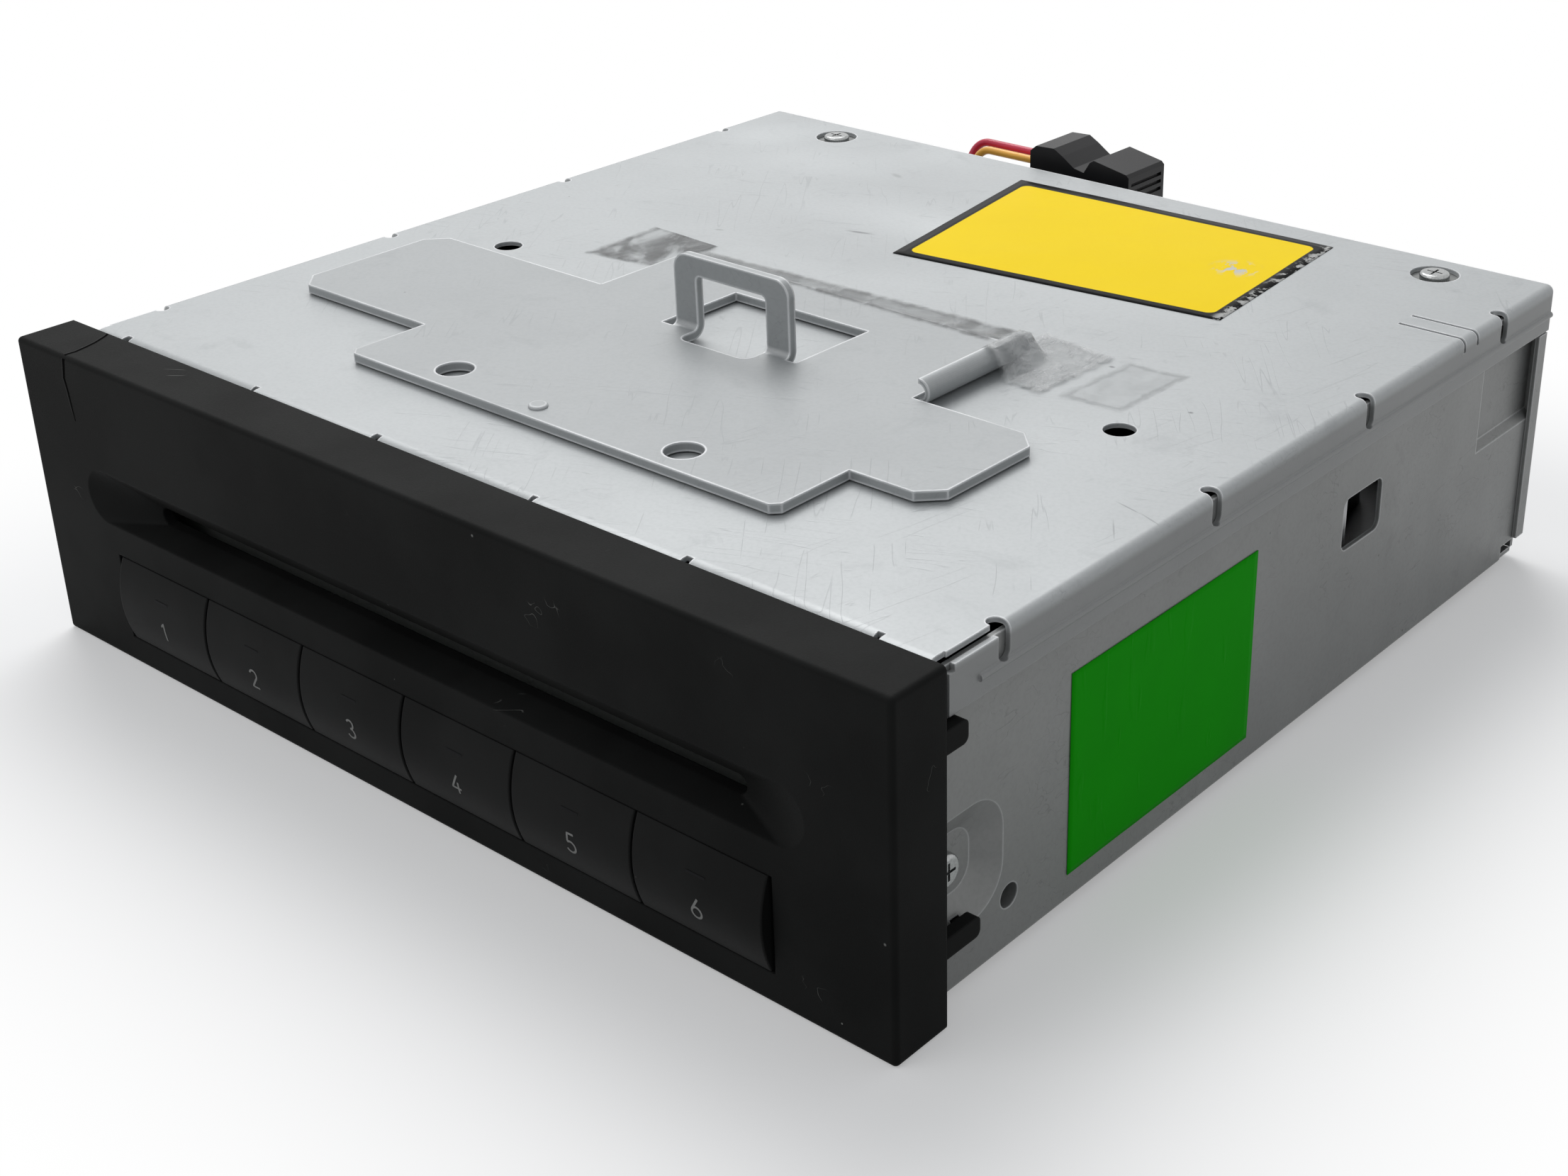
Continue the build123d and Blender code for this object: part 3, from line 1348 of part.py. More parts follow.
# ---------------------------------------------------------------- traverse
def on_traverse(solid):
    """Moves a solid from the traverse's (u, v) layout into place: U points to the front."""
    return Pos(0, disc_y, 0) * Rot(0, 0, -90) * solid


def traverse_frame():
    """Plate on rubber bushes that carries the turntable motor, guide rods and sled drive."""
    plate = block(traverse_u, traverse_v, (traverse_z, traverse_top))
    plate -= block(traverse_window_u, traverse_window_v, (traverse_z - 1, traverse_top + 1))
    plate = fillet(plate.edges().filter_by(Axis.Z), 1.5)
    post_top = rod_z + rod_radius + 0.5
    for v in (-rod_v, rod_v):
        for u in (rod_u[0], rod_u[1] - rod_post):
            plate += block((u, u + rod_post), (v - 2, v + 2), (traverse_top - 0.1, post_top))
    plate += rod_z_axis(sled_post_radius, sled_gear_u, sled_gear_v, (traverse_top - 0.1, wheel_low + 1.0))
    for v in (-rod_v, rod_v):
        plate -= rod_x(rod_radius + 0.02, (rod_u[0] - 1, rod_u[1] + 1), v, rod_z)
    return on_traverse(plate)


def guide_rods():
    """The two polished rods that the pickup slides on."""
    rods = [on_traverse(rod_x(rod_radius, rod_u, v, rod_z)) for v in (-rod_v, rod_v)]
    return group(rods)


def spindle_motor():
    """Flat motor under the turntable."""
    motor = rod_z_axis(spindle_motor_radius, 0, 0, (traverse_top, traverse_top + spindle_motor_height))
    motor -= rod_z_axis(turntable_shaft_radius + 0.05, 0, 0, (traverse_top + 0.3, traverse_top + 10))
    return on_traverse(motor)


def turntable():
    """Turntable with its centring boss and shaft."""
    low = traverse_top + spindle_motor_height + turntable_gap
    high = low + turntable_gauge
    profile = polygon(
        (0, traverse_top + 0.5),
        (turntable_shaft_radius, traverse_top + 0.5),
        (turntable_shaft_radius, low),
        (turntable_radius, low),
        (turntable_radius, high),
        (turntable_boss_radius, high),
        (turntable_boss_radius - 0.9, high + turntable_boss_height),
        (0, high + turntable_boss_height),
    )
    return on_traverse(revolve(Plane.XZ * profile, axis=Axis.Z))


def pickup():
    """Laser pickup sled: body on both rods, with the rack along its side."""
    z = (pickup_low, pickup_low + pickup_height)
    body = block(pickup_u, (-pickup_half_v, pickup_half_v), z)
    body = fillet(body.edges().filter_by(Axis.Z), 1.0)
    middle = (pickup_u[0] + pickup_u[1]) / 2
    rack_z = (rack_low, rack_low + rack_gauge)
    back = rack_v - 1.25 * sled_module - rack_back
    body += block((middle - 5, middle + 5), (pickup_half_v - 1, back + 0.3), rack_z)
    reach = sled_travel / 2 + 4
    centre = sled_gear_u - sled_travel / 2
    rack = rack_face((centre - reach, centre + reach), rack_v, sled_module, rack_back, sled_gear_u)
    body += prism_z(rack, rack_z)
    for v in (-rod_v, rod_v):
        body -= rod_x(rod_radius + 0.05, (pickup_u[0] - 1, pickup_u[1] + 1), v, rod_z)
    return on_traverse(body)


def pickup_lens():
    """Objective lens in its ring, on top of the pickup."""
    top = pickup_low + pickup_height
    return on_traverse(rod_z_axis(lens_radius, lens_u, 0, (top, top + lens_height)))


def sled_gear():
    """Two-step gear: its pinion drives the rack, its wheel is driven by the motor."""
    small = gear_face(sled_teeth, sled_module, 180 / sled_teeth)
    large = gear_face(sled_wheel_teeth, sled_module, 0)
    gear = prism_z(small, (rack_low - 0.1, wheel_low + 0.1))
    gear += prism_z(large, (wheel_low, wheel_low + 0.8))
    gear -= rod_z_axis(sled_post_radius + 0.05, 0, 0, (0, 30))
    return on_traverse(Pos(sled_gear_u, sled_gear_v, 0) * gear)


def sled_pinion():
    """Pinion on the sled motor's shaft."""
    face = gear_face(sled_pinion_teeth, sled_module, 180 + 180 / sled_pinion_teeth)
    gear = prism_z(face, (wheel_low - 0.1, wheel_low + 0.8))
    gear += rod_z_axis(sled_shaft_radius, 0, 0, (traverse_top + 0.6, wheel_low))
    return on_traverse(Pos(sled_motor_u, sled_gear_v, 0) * gear)


def sled_motor():
    """Motor that drives the sled, its can flattened so that the rack passes it."""
    body = rod_z_axis(sled_motor_radius, 0, 0, (traverse_top, wheel_low - 0.3))
    body &= block((-sled_motor_radius, sled_motor_radius), (-sled_motor_flat, sled_motor_flat), (0, wheel_low))
    body -= rod_z_axis(sled_shaft_radius + 0.05, 0, 0, (traverse_top + 0.5, wheel_low))
    return on_traverse(Pos(sled_motor_u, sled_gear_v, 0) * body)


# ---------------------------------------------------------------- fasteners
def lid_screws():
    """Screws in the lid's two rear cut-outs, on the rear panel's tabs."""
    screw = pan_screw(rear_screw_head_radius, rear_screw_head_height, rear_screw_radius, lid_screw_length)
    return group([Pos(x, lid_screw_y, lid_under - seam) * screw for x in lid_screw_x])


def rear_screws():
    """Screws in the rear panel."""
    screw = pan_screw(rear_screw_head_radius, rear_screw_head_height, rear_screw_radius, rear_screw_length)
    solids = [Pos(x, rear_outer, z) * Rot(-90, 0, 0) * screw for x, z in rear_screw_places()]
    return group(solids)


def inner_screws():
    """Small screws of the main board and of the switch board."""
    screw = pan_screw(inner_screw_head_radius, inner_screw_head_height, inner_screw_radius, main_board_gauge + 1.2)
    solids = [Pos(x, y, board_top) * screw for x, y in main_board_holes()]
    back = switch_board_front + board_gauge
    small = pan_screw(inner_screw_head_radius, case_front - back - seam, inner_screw_radius, board_gauge + 3)
    for x in (-switch_boss_x, switch_boss_x):
        for z in (button_z - switch_boss_rise, button_z + switch_boss_rise):
            solids.append(Pos(x, back, z) * Rot(-90, 0, 0) * small)
    return group(solids)


def plate_rivet():
    """Rivet head that holds the mounting plate."""
    head = rod_z_axis(rivet_radius, rivet_x, rivet_y, (plate_top, plate_top + rivet_height))
    return fillet(head.edges().sort_by(Axis.Z)[-1], rivet_height * 0.6)


# ---------------------------------------------------------------- assembly
def assemble():
    """Makes every piece under its own name."""
    keep("front_panel", front_panel())
    for number, x in enumerate(button_centres(), start=1):
        keep(f"button_{number}", Pos(x, 0, 0) * button())
    keep("switch_board", switch_board())
    keep("tact_switches", tact_switches())
    keep("chassis_tray", chassis_tray())
    keep("top_lid", top_lid())
    keep("rear_panel", rear_panel())
    keep("mounting_plate", mounting_plate())
    keep("plate_rivet", plate_rivet())
    keep("rear_connector", rear_connector())
    keep("connector_bracket", connector_bracket())
    keep("red_wire", wire(1))
    keep("yellow_wire", wire(0))
    keep("wire_grommet", wire_grommet())
    keep("optical_socket", optical_socket())
    keep("main_board", main_board())
    keep("board_components", board_components())
    keep("mech_frame", mech_frame())
    keep("rubber_mounts", rubber_mounts())
    keep("top_bridge", top_bridge())
    for name, place in zip(("left", "right", "rear"), spindle_places):
        keep(f"lift_spindle_{name}", lift_spindle(*place))
    keep("ring_gear", ring_gear())
    keep("lift_idler", lift_idler())
    keep("lift_pinion", lift_pinion())
    keep("lift_motor", lift_motor())
    for number in range(1, tray_count + 1):
        z = top_tray_low - (tray_count - number) * tray_pitch
        keep(f"tray_{number}", Pos(0, disc_y, z) * tray())
    keep("guide_frame", guide_frame())
    keep("dust_flap", dust_flap())
    keep("side_screws", side_screws())
    keep("loading_roller", loading_roller())
    keep("roller_shaft", roller_shaft())
    keep("roller_gear", roller_gear())
    keep("load_pinion", load_pinion())
    keep("loading_motor", loading_motor())
    keep("roller_brackets", roller_brackets())
    keep("disc_guide", disc_guide())
    keep("traverse_frame", traverse_frame())
    keep("guide_rods", guide_rods())
    keep("spindle_motor", spindle_motor())
    keep("turntable", turntable())
    keep("pickup", pickup())
    keep("pickup_lens", pickup_lens())
    keep("sled_gear", sled_gear())
    keep("sled_pinion", sled_pinion())
    keep("sled_motor", sled_motor())
    keep("lid_screws", lid_screws())
    keep("rear_screws", rear_screws())
    keep("inner_screws", inner_screws())


def export():
    """Moves each piece to the part's origin and writes its file."""
    for name, piece in pieces.items():
        solids = [Pos(0, -origin_y, 0) * solid for solid in piece.solids()]
        export_step(solids[0] if len(solids) == 1 else Compound(solids), f"parts/{name}.step")
    print(len(pieces), "pieces, origin at build y", round(origin_y, 3))


assemble()
export()
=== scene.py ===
import math

import bmesh
import bpy
from mathutils import Matrix, Vector


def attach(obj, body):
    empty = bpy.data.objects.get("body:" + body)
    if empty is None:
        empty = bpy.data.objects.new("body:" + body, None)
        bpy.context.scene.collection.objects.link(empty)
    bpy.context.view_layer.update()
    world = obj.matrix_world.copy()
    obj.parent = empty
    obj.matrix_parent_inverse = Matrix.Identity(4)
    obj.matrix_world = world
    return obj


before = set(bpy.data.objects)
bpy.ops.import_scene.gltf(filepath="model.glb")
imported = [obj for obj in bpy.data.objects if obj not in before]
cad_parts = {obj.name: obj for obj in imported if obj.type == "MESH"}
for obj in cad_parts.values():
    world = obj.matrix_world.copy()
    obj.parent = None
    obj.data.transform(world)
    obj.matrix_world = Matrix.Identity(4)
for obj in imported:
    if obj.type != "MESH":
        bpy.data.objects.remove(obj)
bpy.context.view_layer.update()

# Places below are in millimetres in the builder's frame: X from the middle, Y back from the
# front panel's face, Z up from its lowest edge.  ORIGIN_Y moves them to the row's origin.
MM = 0.001
ORIGIN_Y = 97.225
FOOTPRINT = (92.4, 98.8, 0.0)  # half the width and depth, about the row's origin

# Levels of the surfaces that the thin pieces lie on.
LID_TOP = 51.9
PLATE_TOP = 53.7
PANEL_TOP = 53.35
SIDE_X = 89.15
PLATE_REAR = 96.9
CURL_X = 39.4
CURL_FRONT, CURL_REAR = 86.5, 96.3
CURL_TOP = 56.65


def at(x, y, z):
    """A place in millimetres of the builder's frame, as metres of the row frame."""
    return Vector((x * MM, (y - ORIGIN_Y) * MM, z * MM))


# ---------------------------------------------------------------- camera
# Solved from the photograph: focal length and centre are in its pixels.
PHOTO_WIDTH, PHOTO_HEIGHT = 2212, 1659
FOCAL_LENGTH = 3148.317
CENTRE_X, CENTRE_Y = 1278.647, 721.962
SENSOR_WIDTH = 36.0

right = Vector((0.771259, 0.636463, -0.008666))
down = Vector((0.269850, -0.339272, -0.901152))
forward = Vector((-0.576490, 0.692683, -0.433416))
camera_data = bpy.data.cameras.new("camera")
camera_data.sensor_fit = "HORIZONTAL"
camera_data.sensor_width = SENSOR_WIDTH
camera_data.lens = FOCAL_LENGTH / PHOTO_WIDTH * SENSOR_WIDTH
camera_data.shift_x = (PHOTO_WIDTH / 2 - CENTRE_X) / PHOTO_WIDTH
camera_data.shift_y = (CENTRE_Y - PHOTO_HEIGHT / 2) / PHOTO_WIDTH
camera_data.clip_start = 0.01
camera = bpy.data.objects.new("camera", camera_data)
turn = Matrix((right, -down, -forward)).transposed()  # the camera looks along its own -Z
camera.matrix_world = Matrix.Translation(at(234.721, -168.059, 183.103)) @ turn.to_4x4()
bpy.context.scene.collection.objects.link(camera)
bpy.context.scene.camera = camera
bpy.context.scene.view_settings.view_transform = "Standard"


# ---------------------------------------------------------------- materials
class Look:
    """One procedural material; its coordinates are the object's own, in millimetres."""

    def __init__(self, name, color, metallic=0.0, roughness=0.5, specular=0.5):
        self.material = bpy.data.materials.new(name)
        self.material.use_nodes = True
        self.tree = self.material.node_tree
        self.tree.nodes.clear()
        self.out = self.node("ShaderNodeOutputMaterial")
        self.bsdf = self.node("ShaderNodeBsdfPrincipled")
        self.set(self.out, "Surface", self.bsdf.outputs["BSDF"])
        self.set(self.bsdf, "Base Color", (*color, 1.0))
        self.set(self.bsdf, "Metallic", metallic)
        self.set(self.bsdf, "Roughness", roughness)
        self.set(self.bsdf, "Specular IOR Level", specular)
        coords = self.node("ShaderNodeTexCoord")
        self.where = self.vector("SCALE", coords.outputs["Object"], scale=1000.0)
        self.uv = self.vector("SCALE", coords.outputs["UV"], scale=1.0)
        self.heights = []

    def node(self, kind, **settings):
        """A new shader node with these settings."""
        made = self.tree.nodes.new(kind)
        for key, value in settings.items():
            setattr(made, key, value)
        return made

    def set(self, node, name, value):
        """Links a socket, or sets a constant, on one input."""
        socket = node.inputs[name]
        if isinstance(value, bpy.types.NodeSocket):
            self.tree.links.new(value, socket)
        else:
            socket.default_value = value

    def vector(self, operation, a, b=None, scale=None):
        """A vector operation's result; LENGTH and DISTANCE give a number."""
        made = self.node("ShaderNodeVectorMath", operation=operation)
        self.set(made, 0, a)
        if b is not None:
            self.set(made, 1, b)
        if scale is not None:
            self.set(made, "Scale", scale)
        return made.outputs["Value" if operation in ("LENGTH", "DISTANCE") else "Vector"]

    def math(self, operation, a, b=0.0):
        """A number operation's result."""
        made = self.node("ShaderNodeMath", operation=operation)
        self.set(made, 0, a)
        self.set(made, 1, b)
        return made.outputs[0]

    def times(self, a, b):
        return self.math("MULTIPLY", a, b)

    def plus(self, a, b):
        return self.math("ADD", a, b)

    def parts(self, vector):
        """The X, Y and Z of a vector."""
        made = self.node("ShaderNodeSeparateXYZ")
        self.set(made, 0, vector)
        return made.outputs

    def mapped(self, scale=(1, 1, 1), turn_z=0.0, shift=(0, 0, 0)):
        """The coordinates, turned about Z, then scaled."""
        made = self.node("ShaderNodeMapping", vector_type="TEXTURE")
        self.set(made, "Vector", self.where)
        self.set(made, "Location", shift)
        self.set(made, "Rotation", (0.0, 0.0, math.radians(turn_z)))
        self.set(made, "Scale", tuple(1.0 / s for s in scale))
        return made.outputs["Vector"]

    def noise(
        self, size, detail=3.0, rough=0.5, stretch=(1, 1, 1), turn_z=0.0, shift=(0, 0, 0), warp=0.0
    ):
        """Smooth noise whose blotches are about size millimetres across."""
        made = self.node("ShaderNodeTexNoise")
        self.set(made, "Vector", self.mapped(stretch, turn_z, shift))
        self.set(made, "Scale", 1.0 / size)
        self.set(made, "Detail", detail)
        self.set(made, "Roughness", rough)
        self.set(made, "Distortion", warp)
        return made.outputs["Fac"]

    def mask(self, value, low, high):
        """0 below low, 1 above high and smooth between; low may be above high."""
        made = self.node("ShaderNodeMapRange", interpolation_type="SMOOTHSTEP")
        self.set(made, "Value", value)
        if low < high:
            self.set(made, "From Min", low)
            self.set(made, "From Max", high)
            return made.outputs["Result"]
        self.set(made, "From Min", high)
        self.set(made, "From Max", low)
        self.set(made, "To Min", 1.0)
        self.set(made, "To Max", 0.0)
        return made.outputs["Result"]

    def mix(self, factor, a, b):
        """Color a where factor is 0, b where it is 1."""
        made = self.node("ShaderNodeMix", data_type="RGBA")
        self.set(made, 0, factor)
        self.set(made, 6, (*a, 1.0) if isinstance(a, tuple) else a)
        self.set(made, 7, (*b, 1.0) if isinstance(b, tuple) else b)
        return made.outputs[2]

    def scratches(self, angle, spread, width, cover, seed):
        """Fine wandering lines along angle, in patches: 1 on a line."""
        shift = (seed * 7.3, seed * 3.1, seed)
        lines = self.noise(spread, 2.0, 0.4, (0.06, 1.0, 1.0), angle, shift)
        line = self.mask(self.math("ABSOLUTE", self.math("SUBTRACT", lines, 0.5)), width, 0.0)
        cloud = self.noise(14.0, 2.0, 0.5, shift=(seed * 11.0, 5.0, 3.0))
        return self.times(line, self.mask(cloud, 1.0 - cover, 1.06 - cover))

    def specks(self, spacing, size, share, seed=0.0):
        """Small round specks, on a share of the cells that are spacing millimetres wide."""
        cells = self.node("ShaderNodeTexVoronoi")
        self.set(cells, "Vector", self.mapped(shift=(seed, seed * 2, seed * 3)))
        self.set(cells, "Scale", 1.0 / spacing)
        spot = self.mask(cells.outputs["Distance"], size / spacing, size / spacing * 0.4)
        pick = self.node("ShaderNodeSeparateColor")
        self.set(pick, 0, cells.outputs["Color"])
        chosen = self.math("LESS_THAN", pick.outputs[0], share)
        return self.times(spot, chosen)

    def dent(self, centre, radius, depth, stretch=(1, 1, 1)):
        """A shallow round dent, in millimetres, added to the surface's height."""
        away = self.vector("SUBTRACT", self.where, tuple(Vector(centre)))
        away = self.vector("MULTIPLY", away, tuple(stretch))
        bowl = self.mask(self.vector("LENGTH", away), radius, 0.0)
        self.heights.append(self.times(bowl, -depth))

    def height(self, value, depth):
        """Adds value, times depth in millimetres, to the surface's height."""
        self.heights.append(self.times(value, depth))

    def spot(self, centre, length, width, angle, ragged=0.0):
        """An oval mark on a level surface: 1 in its middle, 0 outside."""
        made = self.node("ShaderNodeMapping", vector_type="TEXTURE")
        self.set(made, "Vector", self.where)
        self.set(made, "Location", centre)
        self.set(made, "Rotation", (0.0, 0.0, math.radians(angle)))
        self.set(made, "Scale", (length / 2, width / 2, width / 2))
        away = self.vector("LENGTH", made.outputs["Vector"])
        if ragged:
            rim = self.noise(width * 0.8, 3.0, 0.6)
            away = self.plus(away, self.times(rim, ragged))
        return self.mask(away, 1.0 + ragged, 0.45)

    def edges(self, radius):
        """1 along the sharp edges, within about radius millimetres."""
        bevel = self.node("ShaderNodeBevel", samples=6)
        self.set(bevel, "Radius", radius * MM)
        flat = self.node("ShaderNodeNewGeometry")
        near = self.vector("DISTANCE", bevel.outputs["Normal"], flat.outputs["True Normal"])
        return self.mask(near, 0.06, 0.32)

    def color(self, value):
        self.set(self.bsdf, "Base Color", value)

    def rough(self, value):
        self.set(self.bsdf, "Roughness", value)

    def finish(self, edge=0.0):
        """Joins the heights into one bump; edge rounds sharp corners, in millimetres."""
        base = None
        if edge:
            bevel = self.node("ShaderNodeBevel", samples=4)
            self.set(bevel, "Radius", edge * MM)
            base = bevel.outputs["Normal"]
        if self.heights:
            total = self.heights[0]
            for part in self.heights[1:]:
                total = self.plus(total, part)
            bump = self.node("ShaderNodeBump")
            self.set(bump, "Height", total)
            self.set(bump, "Distance", MM)
            if base is not None:
                self.set(bump, "Normal", base)
            base = bump.outputs["Normal"]
        if base is not None:
            self.set(self.bsdf, "Normal", base)
        return self.material


def row(x, y, z):
    """A place as this file's materials see it: millimetres of the row frame."""
    return (x, y - ORIGIN_Y, z)


# pale colour for the sheet edges: partly worn metal, partly a painted highlight where the edges
# catch the light
PAINTED_EDGE_HIGHLIGHT = (0.86, 0.87, 0.88)


def galvanised(
    name, pale, dark, metallic, roughness, dirt, scratch, marks=(), edge=0.4, edge_highlight=0.8, flange_shade=None
):
    """Zinc-coated sheet: soft mottling, handling marks, fine scratches, specks, and edges made
    paler, partly as worn metal and partly as a painted highlight.

    marks are ovals on the lid's top; flange_shade is the colour of painted shade on what hangs
    below that top.
    """
    look = Look(name, pale, metallic, roughness)
    cloud = look.noise(26.0, 4.0, 0.55)
    fine = look.noise(0.7, 2.0, 0.6)
    color = look.mix(look.mask(cloud, 0.3, 0.7), pale, tuple(0.94 * c for c in pale))
    color = look.mix(look.times(look.mask(fine, 0.35, 0.75), 0.12), color, dark)
    rub = look.mask(look.noise(9.0, 5.0, 0.65, shift=(40, 9, 2), warp=0.6), 0.56, 0.74)
    color = look.mix(look.times(rub, 0.22 * dirt), color, dark)
    lines = look.scratches(24.0, 2.4, 0.010, 0.50, 1.0)
    lines = look.math("MAXIMUM", lines, look.scratches(-52.0, 3.1, 0.010, 0.46, 2.0))
    lines = look.math("MAXIMUM", lines, look.scratches(78.0, 2.8, 0.008, 0.44, 3.0))
    color = look.mix(look.times(lines, 0.35 * scratch), color, dark)
    spots = look.specks(7.0, 0.28, 0.22, 4.0)
    color = look.mix(look.times(spots, 0.65 * dirt), color, tuple(0.35 * c for c in dark))
    for x, y, length, width, angle, strength in marks:
        mark = look.spot(row(x, y, LID_TOP), length, width, angle, 0.5)
        color = look.mix(look.times(mark, strength), color, tuple(0.5 * c for c in dark))
    # painted highlight: edges are mixed towards a pale colour, partly as wear and partly standing
    # in for the light they catch
    rim = look.times(look.edges(edge), look.plus(look.mask(cloud, 0.25, 0.6), 0.35))
    color = look.mix(look.times(rim, edge_highlight), color, PAINTED_EDGE_HIGHLIGHT)
    # painted shade: the sides below the lid's top are darkened, standing in for light that falls
    # mainly from above
    if flange_shade:
        level = look.parts(look.where)[2]
        side = look.times(look.mask(level, LID_TOP - 0.7, LID_TOP - 2.2), 0.78)
        color = look.mix(side, color, flange_shade)
    look.color(color)
    look.rough(look.plus(look.times(cloud, 0.14), roughness - 0.07))
    look.height(fine, 0.006)
    look.height(look.noise(60.0, 1.0, 0.4, shift=(3, 1, 8)), 0.5)
    look.height(lines, -0.012)
    return look


# marks on the lid: x, y, length, width, angle, strength
LID_MARKS = (
    (-21.8, 127.5, 6.0, 1.1, 14.0, 0.75),
    (-43.2, 112.7, 2.2, 0.8, 20.0, 0.45),
    (-38.8, 158.6, 4.0, 1.6, -20.0, 0.35),
    (71.7, 94.3, 1.0, 0.8, 0.0, 0.85),
    (52.1, 102.0, 1.2, 0.9, 0.0, 0.8),
    (49.7, 94.9, 1.1, 0.8, 0.0, 0.7),
    (83.0, 61.4, 5.6, 0.35, -14.0, 0.55),
    (87.4, 60.2, 5.0, 0.35, -20.0, 0.5),
    (85.3, 54.6, 6.4, 0.3, -54.0, 0.45),
)


def lid_look():
    """The lid: the palest sheet, with its marks, its low dents and painted shade that darkens the
    sides below its top.
    """
    look = galvanised(
        "lid_sheet", (0.445, 0.463, 0.468), (0.23, 0.24, 0.25), 0.22, 0.42, 1.0, 0.9, LID_MARKS,
        flange_shade=(0.20, 0.203, 0.20),
    )
    look.dent(row(-20, 131, LID_TOP), 26.0, 1.3, (0.7, 1.1, 1.0))
    look.dent(row(-22, 143, LID_TOP), 20.0, -0.5, (0.6, 1.2, 1.0))
    look.dent(row(-50, 150, LID_TOP), 34.0, 1.5, (0.9, 0.7, 1.0))
    look.dent(row(-58, 163, LID_TOP), 20.0, -0.5, (0.8, 1.2, 1.0))
    look.dent(row(-86, 172, LID_TOP), 20.0, -1.1)
    look.dent(row(-34, 168, LID_TOP), 18.0, 0.5)
    look.dent(row(20, 118, LID_TOP), 34.0, 0.8, (0.6, 1.0, 1.0))
    return look.finish(0.3)


def case_look():
    """The case's walls: the zinc sheet darkened as painted shade for walls that face away from the
    light, slightly uneven.
    """
    # painted shade: a darker copy of the lid's sheet colour, for walls that get less light than the
    # top
    look = galvanised(
        "case_sheet", (0.250, 0.255, 0.250), (0.10, 0.10, 0.10), 0.3, 0.42, 1.0, 1.0, edge_highlight=0.35
    )
    look.height(look.noise(24.0, 2.0, 0.5, shift=(2, 6, 1)), 0.9)
    return look.finish(0.25)


def plate_look():
    """The plate with its loop: thicker sheet with wider paler edges, partly worn metal and partly a
    painted highlight.
    """
    look = galvanised(
        "plate_sheet", (0.365, 0.380, 0.385), (0.19, 0.20, 0.21), 0.18, 0.42, 0.8, 0.7, edge=0.6
    )
    return look.finish(0.3)


def moulded(name, color, roughness, grain, specular=0.5, dust=0.0, edge=0.15):
    """Fine-textured moulding with dust specks and faint rub marks."""
    look = Look(name, color, 0.0, roughness, specular)
    cloud = look.noise(18.0, 3.0, 0.5)
    grains = look.noise(0.22, 2.0, 0.55)
    worn = tuple(min(1.0, c * 1.35 + 0.002) for c in color)
    shade = look.mix(look.mask(cloud, 0.3, 0.7), color, worn)
    if dust:
        spots = look.math(
            "MAXIMUM", look.specks(9.0, 0.34, 0.20), look.specks(5.0, 0.2, 0.16, 3.0)
        )
        marks = look.math("MAXIMUM", spots, look.scratches(35.0, 3.0, 0.006, 0.34, 6.0))
        shade = look.mix(look.times(marks, dust), shade, (0.42, 0.42, 0.40))
    look.color(shade)
    look.rough(look.plus(look.times(grains, 0.16), roughness - 0.08))
    look.height(grains, grain)
    return look.finish(edge)


def machined(name, color, roughness, stretch):
    """Ground or drawn metal with fine lines along one axis."""
    look = Look(name, color, 1.0, roughness)
    lines = look.noise(0.35, 3.0, 0.6, stretch)
    look.color(look.mix(look.mask(lines, 0.3, 0.7), color, tuple(0.78 * c for c in color)))
    look.rough(look.plus(look.times(lines, 0.2), roughness - 0.1))
    look.height(lines, 0.004)
    return look.finish(0.1)


def circuit(name):
    """Green board: tracks under the resist, small solder pads and a silk edge."""
    look = Look(name, (0.01, 0.09, 0.035), 0.0, 0.35)
    tracks = look.node("ShaderNodeTexBrick", offset=0.35, squash=0.6)
    look.set(tracks, "Vector", look.where)
    look.set(tracks, "Color1", (0.012, 0.115, 0.04, 1.0))
    look.set(tracks, "Color2", (0.008, 0.075, 0.03, 1.0))
    look.set(tracks, "Mortar", (0.02, 0.19, 0.07, 1.0))
    look.set(tracks, "Scale", 0.35)
    look.set(tracks, "Mortar Size", 0.12)
    pads = look.specks(3.2, 0.7, 0.42)
    look.color(look.mix(pads, tracks.outputs["Color"], (0.62, 0.62, 0.6)))
    look.rough(look.math("SUBTRACT", 0.42, look.times(pads, 0.2)))
    look.height(tracks.outputs["Fac"], 0.02)
    return look.finish(0.1)


def lens_look():
    """Small coated lens with a blue to violet sheen."""
    look = Look("coated_lens", (0.10, 0.14, 0.32), 0.0, 0.04)
    look.set(look.bsdf, "Coat Weight", 1.0)
    rings = look.noise(1.2, 1.0, 0.5)
    look.color(look.mix(rings, (0.05, 0.08, 0.30), (0.16, 0.10, 0.30)))
    return look.finish()


